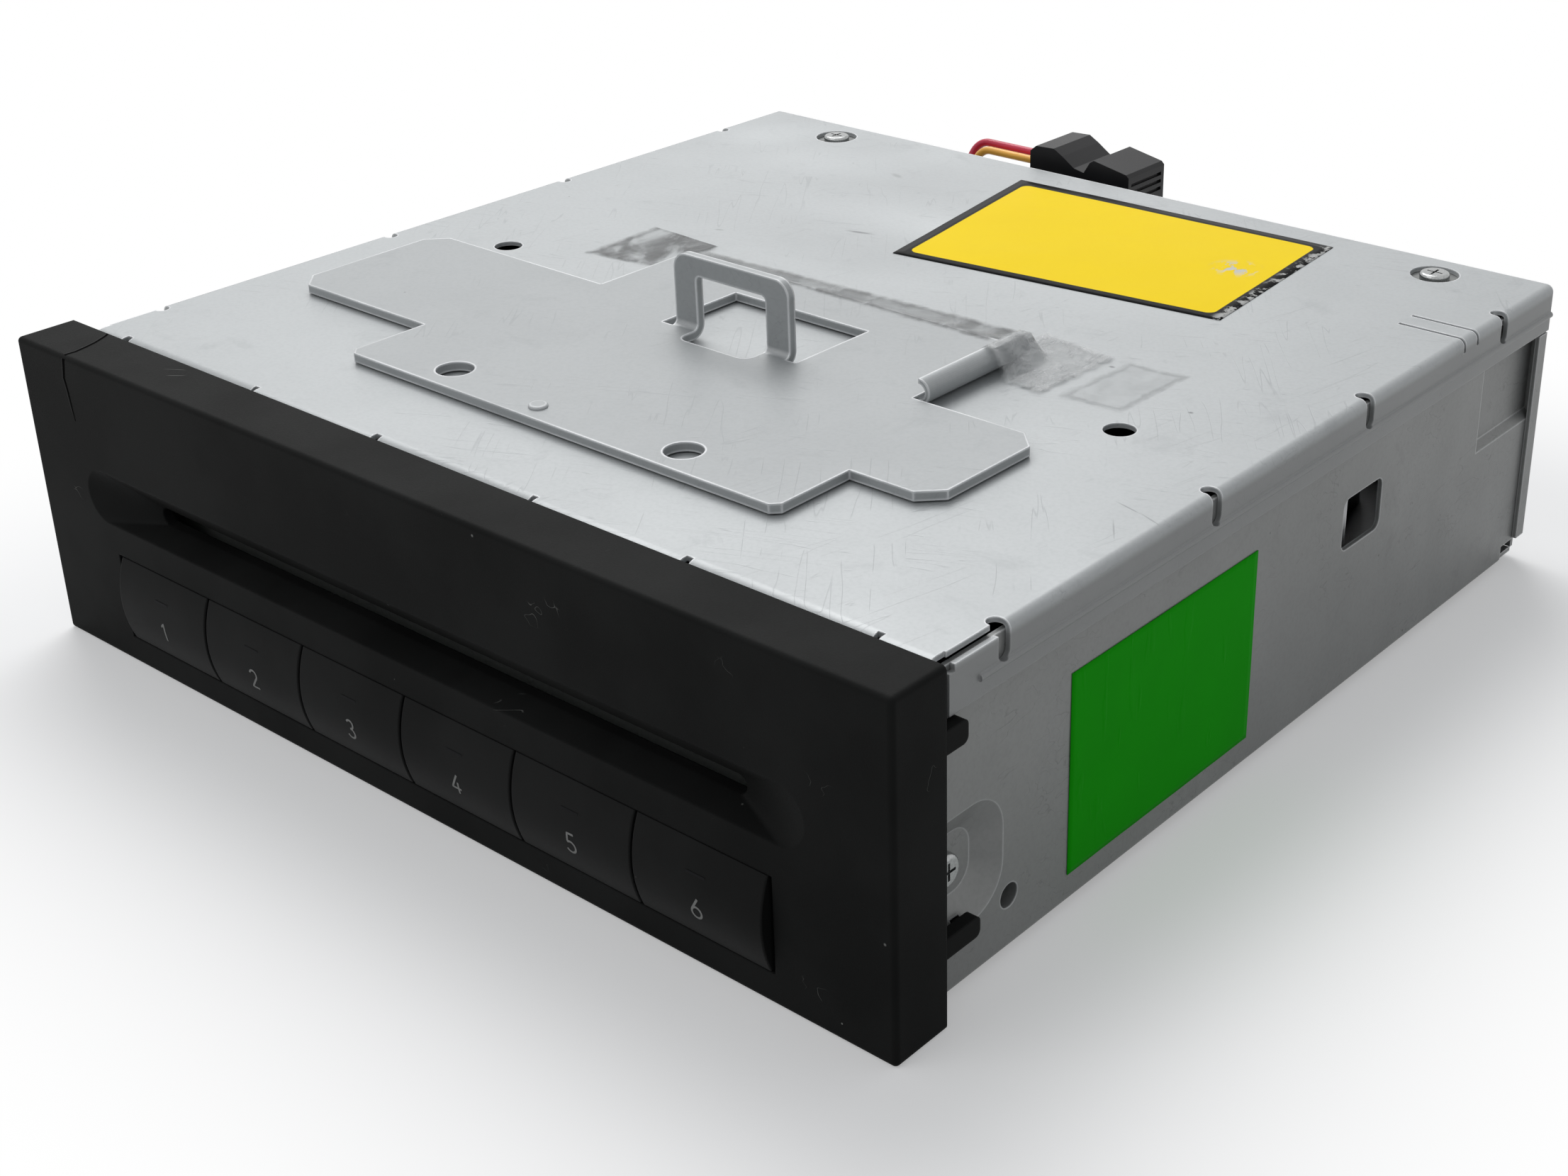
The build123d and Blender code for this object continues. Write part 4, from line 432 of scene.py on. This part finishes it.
looks = {
    "lid": lid_look(),
    "case": case_look(),
    "plate": plate_look(),
    "panel": moulded("panel_moulding", (0.0105, 0.0108, 0.0105), 0.50, 0.020, 0.025, 0.60, 0.5),
    "key": moulded("key_moulding", (0.0105, 0.0107, 0.0105), 0.42, 0.010, 0.04, 0.35, 0.2),
    "socket": moulded("connector_moulding", (0.008, 0.008, 0.009), 0.36, 0.008, 0.2),
    "grey": moulded("inner_moulding", (0.05, 0.05, 0.055), 0.5, 0.012),
    "nylon": moulded("nylon_moulding", (0.68, 0.66, 0.60), 0.42, 0.006),
    "rubber": moulded("soft_rubber", (0.018, 0.018, 0.018), 0.72, 0.03),
    "red": moulded("red_insulation", (0.42, 0.006, 0.04), 0.34, 0.004),
    "yellow": moulded("yellow_insulation", (0.72, 0.36, 0.05), 0.34, 0.004),
    "chips": moulded("moulded_packages", (0.014, 0.014, 0.016), 0.4, 0.006),
    "mech": galvanised(
        "mechanism_sheet", (0.52, 0.53, 0.54), (0.3, 0.3, 0.3), 0.8, 0.36, 0.3, 0.3
    ).finish(0.15),
    "rod": machined("ground_steel", (0.62, 0.62, 0.63), 0.26, (0.1, 1.0, 1.0)),
    "can": machined("motor_can", (0.5, 0.5, 0.51), 0.32, (1.0, 1.0, 0.1)),
    "screw": machined("zinc_screw", (0.40, 0.41, 0.41), 0.26, (1.0, 1.0, 1.0)),
    "board": circuit("green_board"),
    "lens": lens_look(),
}


# The nodes that wear each look.
wear = {
    "lid": ["top_lid"],
    "case": ["chassis_tray", "rear_panel", "connector_bracket"],
    "plate": ["mounting_plate", "plate_rivet"],
    "panel": ["front_panel"],
    "key": [f"button_{i}" for i in range(1, 7)],
    "socket": ["rear_connector", "optical_socket"],
    "grey": ["guide_frame", "dust_flap", "disc_guide", "turntable", "pickup"]
    + [f"tray_{i}" for i in range(1, 7)],
    "nylon": [
        "lift_spindle_left", "lift_spindle_right", "lift_spindle_rear", "ring_gear", "lift_idler",
        "lift_pinion", "roller_gear", "load_pinion", "sled_gear", "sled_pinion",
    ],
    "rubber": ["rubber_mounts", "loading_roller", "wire_grommet"],
    "red": ["red_wire"],
    "yellow": ["yellow_wire"],
    "chips": ["board_components"],
    "mech": ["mech_frame", "top_bridge", "roller_brackets", "traverse_frame"],
    "rod": ["roller_shaft", "guide_rods"],
    "can": ["lift_motor", "loading_motor", "spindle_motor", "sled_motor", "tact_switches"],
    "screw": ["side_screws", "lid_screws", "rear_screws", "inner_screws"],
    "board": ["switch_board", "main_board"],
    "lens": ["pickup_lens"],
}
for look_name, nodes in wear.items():
    for node in nodes:
        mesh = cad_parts[node].data
        mesh.materials.clear()
        mesh.materials.append(looks[look_name])


# ---------------------------------------------------------------- thin pieces laid on the surfaces
def new_piece(name, mesh, material, body="case"):
    """Puts a mesh in the scene, in one material, to ride a body."""
    piece = bpy.data.objects.new(name, mesh)
    bpy.context.scene.collection.objects.link(piece)
    mesh.materials.append(material)
    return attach(piece, body)


RIBBON_TAPER = 0.75


def ribbon(name, strokes, width, lift, material, body="case", taper=False):
    """Flat strokes; each is a list of (place, side direction, outward direction).

    The width and the lift off the surface are in millimetres; a taper thins towards the end.
    """
    work = bmesh.new()
    for stroke in strokes:
        previous = None
        for i, (place, side, out) in enumerate(stroke):
            half = width / 2
            if taper:
                half *= 1.0 - RIBBON_TAPER * i / (len(stroke) - 1)
            centre = at(*(Vector(place) + Vector(out) * lift))
            arm = Vector(side).normalized() * half * MM
            pair = (work.verts.new(centre - arm), work.verts.new(centre + arm))
            if previous:
                work.faces.new((previous[0], previous[1], pair[1], pair[0]))
            previous = pair
    bmesh.ops.recalc_face_normals(work, faces=work.faces)
    mesh = bpy.data.meshes.new(name)
    work.to_mesh(mesh)
    work.free()
    return new_piece(name, mesh, material, body)


def patch(name, corners, count, surface, gauge, material, body="case"):
    """A thin sheet between four corners (u, v); surface(u, v, s, t) gives each point's place."""
    a, b, c, d = (Vector(p) for p in corners)
    columns, rows = count
    width = ((b - a).length + (c - d).length) / 2
    height = ((d - a).length + (c - b).length) / 2
    work = bmesh.new()
    layer = work.loops.layers.uv.new("UVMap")
    grid = []
    for j in range(rows + 1):
        t = j / rows
        line = []
        for i in range(columns + 1):
            s = i / columns
            point = (a * (1 - s) + b * s) * (1 - t) + (d * (1 - s) + c * s) * t
            vertex = work.verts.new(at(*surface(point.x, point.y, s, t)))
            line.append((vertex, (s * width, t * height)))
        grid.append(line)
    for j in range(rows):
        for i in range(columns):
            corner = (grid[j][i], grid[j][i + 1], grid[j + 1][i + 1], grid[j + 1][i])
            face = work.faces.new([v for v, _ in corner])
            for loop, (_, uv) in zip(face.loops, corner):
                loop[layer].uv = uv
            face.smooth = True
    mesh = bpy.data.meshes.new(name)
    work.to_mesh(mesh)
    work.free()
    piece = new_piece(name, mesh, material, body)
    thick = piece.modifiers.new("gauge", "SOLIDIFY")
    thick.thickness = gauge * MM
    thick.offset = -1.0
    return piece, (width, height)


def ink(name, color, roughness=0.5):
    """Print, or a shadow: hardly any gloss."""
    look = Look(name, color, 0.0, roughness, 0.02)
    grain = look.noise(0.3, 2.0, 0.5)
    look.color(look.mix(grain, color, tuple(0.8 * c for c in color)))
    return look.finish()


# digits and indicator bars on the keys
KEY_COUNT = 6
KEY_PITCH = 23.9
KEY_Z = 12.6
KEY_BULGE = 1.55
KEY_HALF = 7.4
KEY_RADIUS = (KEY_HALF ** 2 + KEY_BULGE ** 2) / (2 * KEY_BULGE)


def key_place(x, z):
    """The point of a key's bulged face at x and z, and the face's outward direction."""
    drop = math.sqrt(KEY_RADIUS ** 2 - (z - KEY_Z) ** 2)
    y = -KEY_BULGE + KEY_RADIUS - drop
    out = Vector((0.0, -drop, z - KEY_Z)).normalized()
    return (x, y, z), out


def arc(cx, cy, radius, start, end, steps=14):
    """Points of an arc in the digit's own square, from start to end in degrees."""
    turns = [math.radians(start + (end - start) * i / steps) for i in range(steps + 1)]
    return [(cx + radius * math.cos(t), cy + radius * math.sin(t)) for t in turns]


def line(*points, step=0.08):
    """Points along straight runs, close enough together to follow the key's face."""
    run = []
    for (x0, y0), (x1, y1) in zip(points, points[1:]):
        count = max(1, round(math.dist((x0, y0), (x1, y1)) / step))
        run += [(x0 + (x1 - x0) * i / count, y0 + (y1 - y0) * i / count) for i in range(count)]
    return run + [points[-1]]


DIGITS = {
    1: [line((0.12, 0.78), (0.32, 1.0), (0.32, 0.0))],
    2: [arc(0.28, 0.73, 0.26, 165, -38) + line((0.44, 0.52), (0.03, 0.0), (0.56, 0.0))],
    3: [arc(0.26, 0.76, 0.23, 150, -90), arc(0.26, 0.265, 0.265, 90, -155)],
    4: [line((0.40, 1.0), (0.02, 0.28), (0.60, 0.28)), line((0.42, 0.62), (0.42, 0.0))],
    5: [line((0.52, 1.0), (0.13, 1.0), (0.10, 0.55)) + arc(0.27, 0.30, 0.29, 125, -150)],
    6: [line((0.40, 1.0), (0.07, 0.45)) + arc(0.29, 0.28, 0.275, 143, 503, 26)],
}
DIGIT_HEIGHT = 3.2
DIGIT_LOW = 8.95
DIGIT_LEFT = 0.95  # from the key's middle
DIGIT_STROKE = 0.36
BAR_Z = 15.7
BAR_HALF = 1.7
BAR_HEIGHT = 0.55
BAR_STEPS = 10
digit_ink = ink("digit_ink", (0.33, 0.33, 0.32))
bar_ink = ink("indicator_window", (0.022, 0.022, 0.023), 0.3)


def on_key(points, left):
    """A digit's stroke laid on the key's face, with the side direction at each point."""
    stroke = []
    for i, (u, v) in enumerate(points):
        u0, v0 = points[max(i - 1, 0)]
        u1, v1 = points[min(i + 1, len(points) - 1)]
        place, out = key_place(left + u * DIGIT_HEIGHT, DIGIT_LOW + v * DIGIT_HEIGHT)
        along = Vector((u1 - u0, 0.0, v1 - v0)).normalized()
        stroke.append((place, along.cross(out), out))
    return stroke


for number, strokes in DIGITS.items():
    middle = (number - (KEY_COUNT + 1) / 2) * KEY_PITCH
    laid = [on_key(points, middle - DIGIT_LEFT) for points in strokes]
    ribbon(f"digit_{number}", laid, DIGIT_STROKE, 0.03, digit_ink, f"key_{number}")
    bar_step = 2 * BAR_HALF / BAR_STEPS
    spots = [key_place(middle - BAR_HALF + bar_step * i, BAR_Z) for i in range(BAR_STEPS + 1)]
    bar = [(place, (0, 0, 1), out) for place, out in spots]
    ribbon(f"indicator_{number}", [bar], BAR_HEIGHT, 0.02, bar_ink, f"key_{number}")



# crack in the panel's left end: strips of painted shadow in the crack, each with a paler lip beside
# it
def down_front(points, shift=0.0):
    """A stroke down the panel's face through points (x, z), moved sideways by shift."""
    return [((x + shift, 0.0, z), (1, 0, 0), (0, -1, 0)) for x, z in points]


def over_top(points, shift=0.0):
    """A stroke over the panel's top through points (x, y), moved sideways by shift."""
    return [((x + shift, y, PANEL_TOP), (1, 0, 0), (0, 0, 1)) for x, y in points]


front_crack = (
    (-78.6, 52.9), (-78.9, 51.5), (-79.4, 49.4), (-79.0, 47.5), (-78.7, 45.2), (-78.5, 43.6),
    (-78.3, 42.2),
)
top_crack = (
    (-78.8, 0.5), (-78.7, 2.4), (-79.2, 4.6), (-79.8, 6.6), (-80.9, 9.0), (-81.6, 10.0),
)
# painted shadow: near-black strips stand in for the shade inside the crack
painted_crack_shadow = ink("crack_shadow", (0.002, 0.002, 0.002), 0.9)
ribbon("crack_front", [down_front(front_crack)], 0.62, 0.02, painted_crack_shadow, taper=True)
ribbon("crack_top", [over_top(top_crack)], 0.5, 0.02, painted_crack_shadow)
chip_ink = ink("crack_lip", (0.035, 0.035, 0.035), 0.4)
ribbon("crack_lip_front", [down_front(front_crack[:-1], -0.45)], 0.2, 0.015, chip_ink)
ribbon("crack_lip_top", [over_top(top_crack, -0.4)], 0.2, 0.015, chip_ink)


# ---------------------------------------------------------------- labels and tape
def ripple(x, y, size):
    """A small repeatable unevenness, from -1 to 1."""
    along = math.sin(x / size + 1.3 * math.sin(y / size * 0.7))
    return along * math.cos(y / size * 1.1 + 0.6 * math.sin(x / size * 1.7))


LABEL_BORDER = 2.1
LABEL_CORNER = 1.6
LABEL_RISE = 0.03  # how far a label's film ripples


def bordered_label(size):
    """Glossy yellow film with a black border, scuffed down to the silver at its right end."""
    look = Look("yellow_label", (0.93, 0.72, 0.0), 0.0, 0.3, 0.03)
    half = (size[0] / 2, size[1] / 2, 0.0)
    middle = look.vector("SUBTRACT", look.uv, half)
    reach = look.vector("ABSOLUTE", middle)
    inset = LABEL_BORDER + LABEL_CORNER
    inner = look.vector("SUBTRACT", reach, (half[0] - inset, half[1] - inset, 0.0))
    inner = look.vector("MAXIMUM", inner, (0.0, 0.0, -1.0))
    across, along, _ = look.parts(inner)
    flat = look.node("ShaderNodeCombineXYZ")
    look.set(flat, 0, across)
    look.set(flat, 1, along)
    beyond = look.vector("LENGTH", flat.outputs[0])
    field = look.mask(beyond, LABEL_CORNER + 0.1, LABEL_CORNER - 0.1)
    paper = look.mix(look.noise(12.0), (1.0, 0.72, 0.0), (0.96, 0.68, 0.0))
    color = look.mix(field, (0.010, 0.010, 0.010), paper)
    edge = look.mask(look.parts(look.uv)[0], size[0] - 2.2, size[0] - 0.3)
    flakes = look.mask(look.noise(1.6, 4.0, 0.6), 0.50, 0.56)
    scar = look.vector("DISTANCE", look.uv, (size[0] - 9.0, size[1] * 0.55, 0.0))
    chips = look.noise(1.8, 4.0, 0.6, (1.0, 0.5, 1.0), shift=(5, 2, 0))
    scar = look.times(look.mask(scar, 5.5, 1.0), look.mask(chips, 0.52, 0.56))
    worn = look.math("MAXIMUM", look.times(edge, flakes), scar)
    look.color(look.mix(worn, color, (0.62, 0.62, 0.60)))
    look.rough(look.plus(look.times(worn, 0.3), 0.3))
    look.height(look.noise(5.0, 2.0, 0.5), 0.04)
    look.height(worn, -0.05)
    return look.finish()


def flat_label(name, color, roughness):
    """Matt coloured paper tape with a fine fibre and a few creases."""
    look = Look(name, color, 0.0, roughness, 0.03)
    fibre = look.noise(0.5, 3.0, 0.6)
    shade = look.mix(look.noise(9.0, 3.0, 0.5), color, tuple(0.82 * c for c in color))
    look.color(look.mix(look.times(fibre, 0.25), shade, tuple(0.7 * c for c in color)))
    look.height(fibre, 0.01)
    creases = look.noise(3.0, 2.0, 0.5, (1.0, 1.0, 0.25), warp=0.4)
    look.height(look.mask(creases, 0.60, 0.70), 0.05)
    return look.finish()


yellow_corners = ((-9.5, 122.3), (54.4, 129.6), (50.6, 173.3), (-17.6, 171.3))
yellow_size = (66.0, 46.6)
patch(
    "yellow_label", yellow_corners, (40, 30),
    lambda x, y, s, t: (x, y, LID_TOP + 0.12 + LABEL_RISE * ripple(x, y, 6.0)),
    0.1, bordered_label(yellow_size),
)
green_corners = ((40.3, 6.0), (86.3, 6.0), (86.3, 37.6), (40.3, 37.6))
patch(
    "green_label", green_corners, (46, 32),
    lambda y, z, s, t: (SIDE_X + 0.14 + LABEL_RISE * ripple(y, z, 5.0), y, z),
    0.1, flat_label("green_label_paper", (0.012, 0.46, 0.006), 0.55),
)


def film(name, size, tone, cover, wrinkle, streak, veil, outline):
    """Clear adhesive tape: grey streaks where it holds air, milky folds, edges that melt away.

    cover is the streaks' strength and veil the clear parts'; streak is (size, stretch, angle).
    """
    look = Look(name, tone, 0.0, 0.22, 0.3)
    fold = look.noise(4.5, 3.0, 0.55, (1.0, 0.5, 1.0), warp=1.2)
    grey = look.noise(streak[0], 3.0, 0.55, (1.0, streak[1], 1.0), streak[2], (4, 4, 0), 0.5)
    grey = look.mask(grey, 0.34, 0.72)
    look.color(look.mix(look.mask(fold, 0.50, 0.72), tone, (0.62, 0.64, 0.64)))
    across, along, _ = look.parts(look.uv)
    rim = look.math("MINIMUM", across, look.math("SUBTRACT", size[0], across))
    other = look.math("MINIMUM", along, look.math("SUBTRACT", size[1], along))
    rim = look.math("MINIMUM", rim, other)
    rim = look.math("SUBTRACT", rim, look.times(look.noise(2.5, 3.0, 0.6), 2.0))
    body = look.mask(rim, -0.9, 0.9)
    alpha = look.plus(look.times(grey, cover), veil)
    border = look.times(look.mask(rim, 1.3, 0.5), outline)
    look.set(look.bsdf, "Alpha", look.times(look.plus(alpha, border), body))
    look.height(fold, wrinkle)
    look.height(look.noise(1.4, 2.0, 0.5), wrinkle * 0.2)
    return look.finish()


def on_lid(x, y, s, t):
    """Tape laid flat on the lid."""
    return (x, y, LID_TOP + 0.10 + 0.03 * ripple(x, y, 2.2))


def off_plate(x, y, s, t):
    """Tape that lies on the plate's tail and slopes from its rear edge down to the lid."""
    fall = min(1.0, max(0.0, (y - PLATE_REAR) / 7.0))
    drop = (PLATE_TOP - LID_TOP) * (fall * (2.0 - fall))
    wave = 0.10 * fall * (0.5 + 0.5 * ripple(x, y, 2.0))
    return (x, y, PLATE_TOP + 0.08 - drop + wave)


def over_curl(x, y, s, t):
    """Tape drawn over the end of the plate's curled edge, wrinkled where it comes down."""
    across = max(0.0, abs(x - CURL_X) - 1.0)
    past = 1.3 * max(0.0, y - CURL_REAR) + 0.9 * max(0.0, CURL_FRONT - y)
    tent = CURL_TOP - 1.5 * across - past
    on_plate = x <= CURL_X - 1.0 and y <= CURL_REAR
    low = PLATE_TOP + 0.12 if on_plate else LID_TOP + 0.15
    wave = 0.22 * (0.5 + 0.5 * ripple(x, y, 1.7))
    return (x, y, max(low, tent) + wave)


GREY = (0.17, 0.175, 0.175)
MILKY = (0.66, 0.67, 0.67)
# name: (corners, columns and rows, surface, (tone, cover, wrinkle, streak, veil, outline))
tapes = {
    "tape_smear": (
        ((-53.5, 88.0), (-35.6, 90.0), (-35.4, 105.5), (-54.0, 106.5)), (12, 12), on_lid,
        (GREY, 0.55, 0.2, (5.0, 0.5, 20.0), 0.05, 0.1),
    ),
    "tape_band": (
        ((-35.0, 94.6), (35.0, 94.6), (36.5, 109.0), (-37.0, 104.5)), (70, 30), off_plate,
        (GREY, 0.22, 0.25, (7.0, 0.08, 2.0), 0.16, 0.12),
    ),
    "tape_wrinkled": (
        ((35.0, 86.5), (51.0, 85.0), (52.0, 105.4), (35.0, 107.5)), (54, 54), over_curl,
        (MILKY, 0.26, 1.3, (3.0, 0.7, 60.0), 0.20, 0.10),
    ),
    "tape_end": (
        ((51.5, 86.4), (63.8, 87.2), (64.1, 106.6), (52.8, 105.7)), (12, 20), on_lid,
        (GREY, 0.03, 0.1, (4.0, 0.8, 0.0), 0.03, 0.09),
    ),
}
for name, (corners, count, surface, finish) in tapes.items():
    size = (math.dist(corners[0], corners[1]), math.dist(corners[0], corners[3]))
    patch(name, corners, count, surface, 0.05, film(name, size, *finish))


# ---------------------------------------------------------------- floor, light
def floor_look():
    """White floor that keeps the shadow near the object and runs into the white surroundings."""
    look = Look("floor", (0.95, 0.95, 0.95), 0.0, 0.9, 0.1)
    beyond = look.vector("SUBTRACT", look.vector("ABSOLUTE", look.where), FOOTPRINT)
    beyond = look.vector("MAXIMUM", beyond, (0.0, 0.0, 0.0))
    far = look.mask(look.vector("LENGTH", beyond), 6.0, 80.0)
    rays = look.node("ShaderNodeLightPath")
    seen = look.math("MAXIMUM", rays.outputs["Is Camera Ray"], rays.outputs["Is Glossy Ray"])
    seen = look.math("MAXIMUM", seen, rays.outputs["Is Transmission Ray"])
    look.color(look.mix(seen, (0.45, 0.45, 0.45), (0.95, 0.95, 0.95)))
    white = look.node("ShaderNodeEmission")
    blend = look.node("ShaderNodeMixShader")
    far = look.plus(look.times(far, 0.7), 0.3)
    look.set(blend, 0, look.times(far, seen))
    look.set(blend, 1, look.bsdf.outputs[0])
    look.set(blend, 2, white.outputs[0])
    look.set(look.out, "Surface", blend.outputs[0])
    return look.material


bpy.ops.mesh.primitive_plane_add(size=6.0, location=(0, 0, 0))
floor = bpy.context.object
floor.name = "floor"
floor.data.materials.append(floor_look())

world = bpy.data.worlds.new("studio")
bpy.context.scene.world = world
world.use_nodes = True
tree = world.node_tree
tree.nodes.clear()
output = tree.nodes.new("ShaderNodeOutputWorld")
rays = tree.nodes.new("ShaderNodeLightPath")
soft = tree.nodes.new("ShaderNodeBackground")
soft.inputs["Color"].default_value = (0.93, 0.96, 1.0, 1.0)
soft.inputs["Strength"].default_value = 0.38
white = tree.nodes.new("ShaderNodeBackground")
white.inputs["Color"].default_value = (1.0, 1.0, 1.0, 1.0)
seen = rays.outputs["Is Camera Ray"]
for name in ("Is Glossy Ray", "Is Transmission Ray"):
    either = tree.nodes.new("ShaderNodeMath")
    either.operation = "MAXIMUM"
    tree.links.new(seen, either.inputs[0])
    tree.links.new(rays.outputs[name], either.inputs[1])
    seen = either.outputs[0]
blend = tree.nodes.new("ShaderNodeMixShader")
tree.links.new(seen, blend.inputs[0])
tree.links.new(soft.outputs[0], blend.inputs[1])
tree.links.new(white.outputs[0], blend.inputs[2])
tree.links.new(blend.outputs[0], output.inputs["Surface"])


LAMP_AIM = (0, 0, 0.02)


def lamp(name, place, size, power):
    """A square softbox at place, in metres, that faces the object."""
    data = bpy.data.lights.new(name, "AREA")
    data.shape = "SQUARE"
    data.size = size
    data.energy = power
    made = bpy.data.objects.new(name, data)
    made.location = place
    aim = Vector(LAMP_AIM) - Vector(place)
    made.rotation_euler = aim.to_track_quat("-Z", "Y").to_euler()
    bpy.context.scene.collection.objects.link(made)


lamp("key", (-0.45, 0.35, 0.85), 0.7, 6.6)
lamp("fill", (-0.25, -0.7, 0.75), 0.6, 1.5)
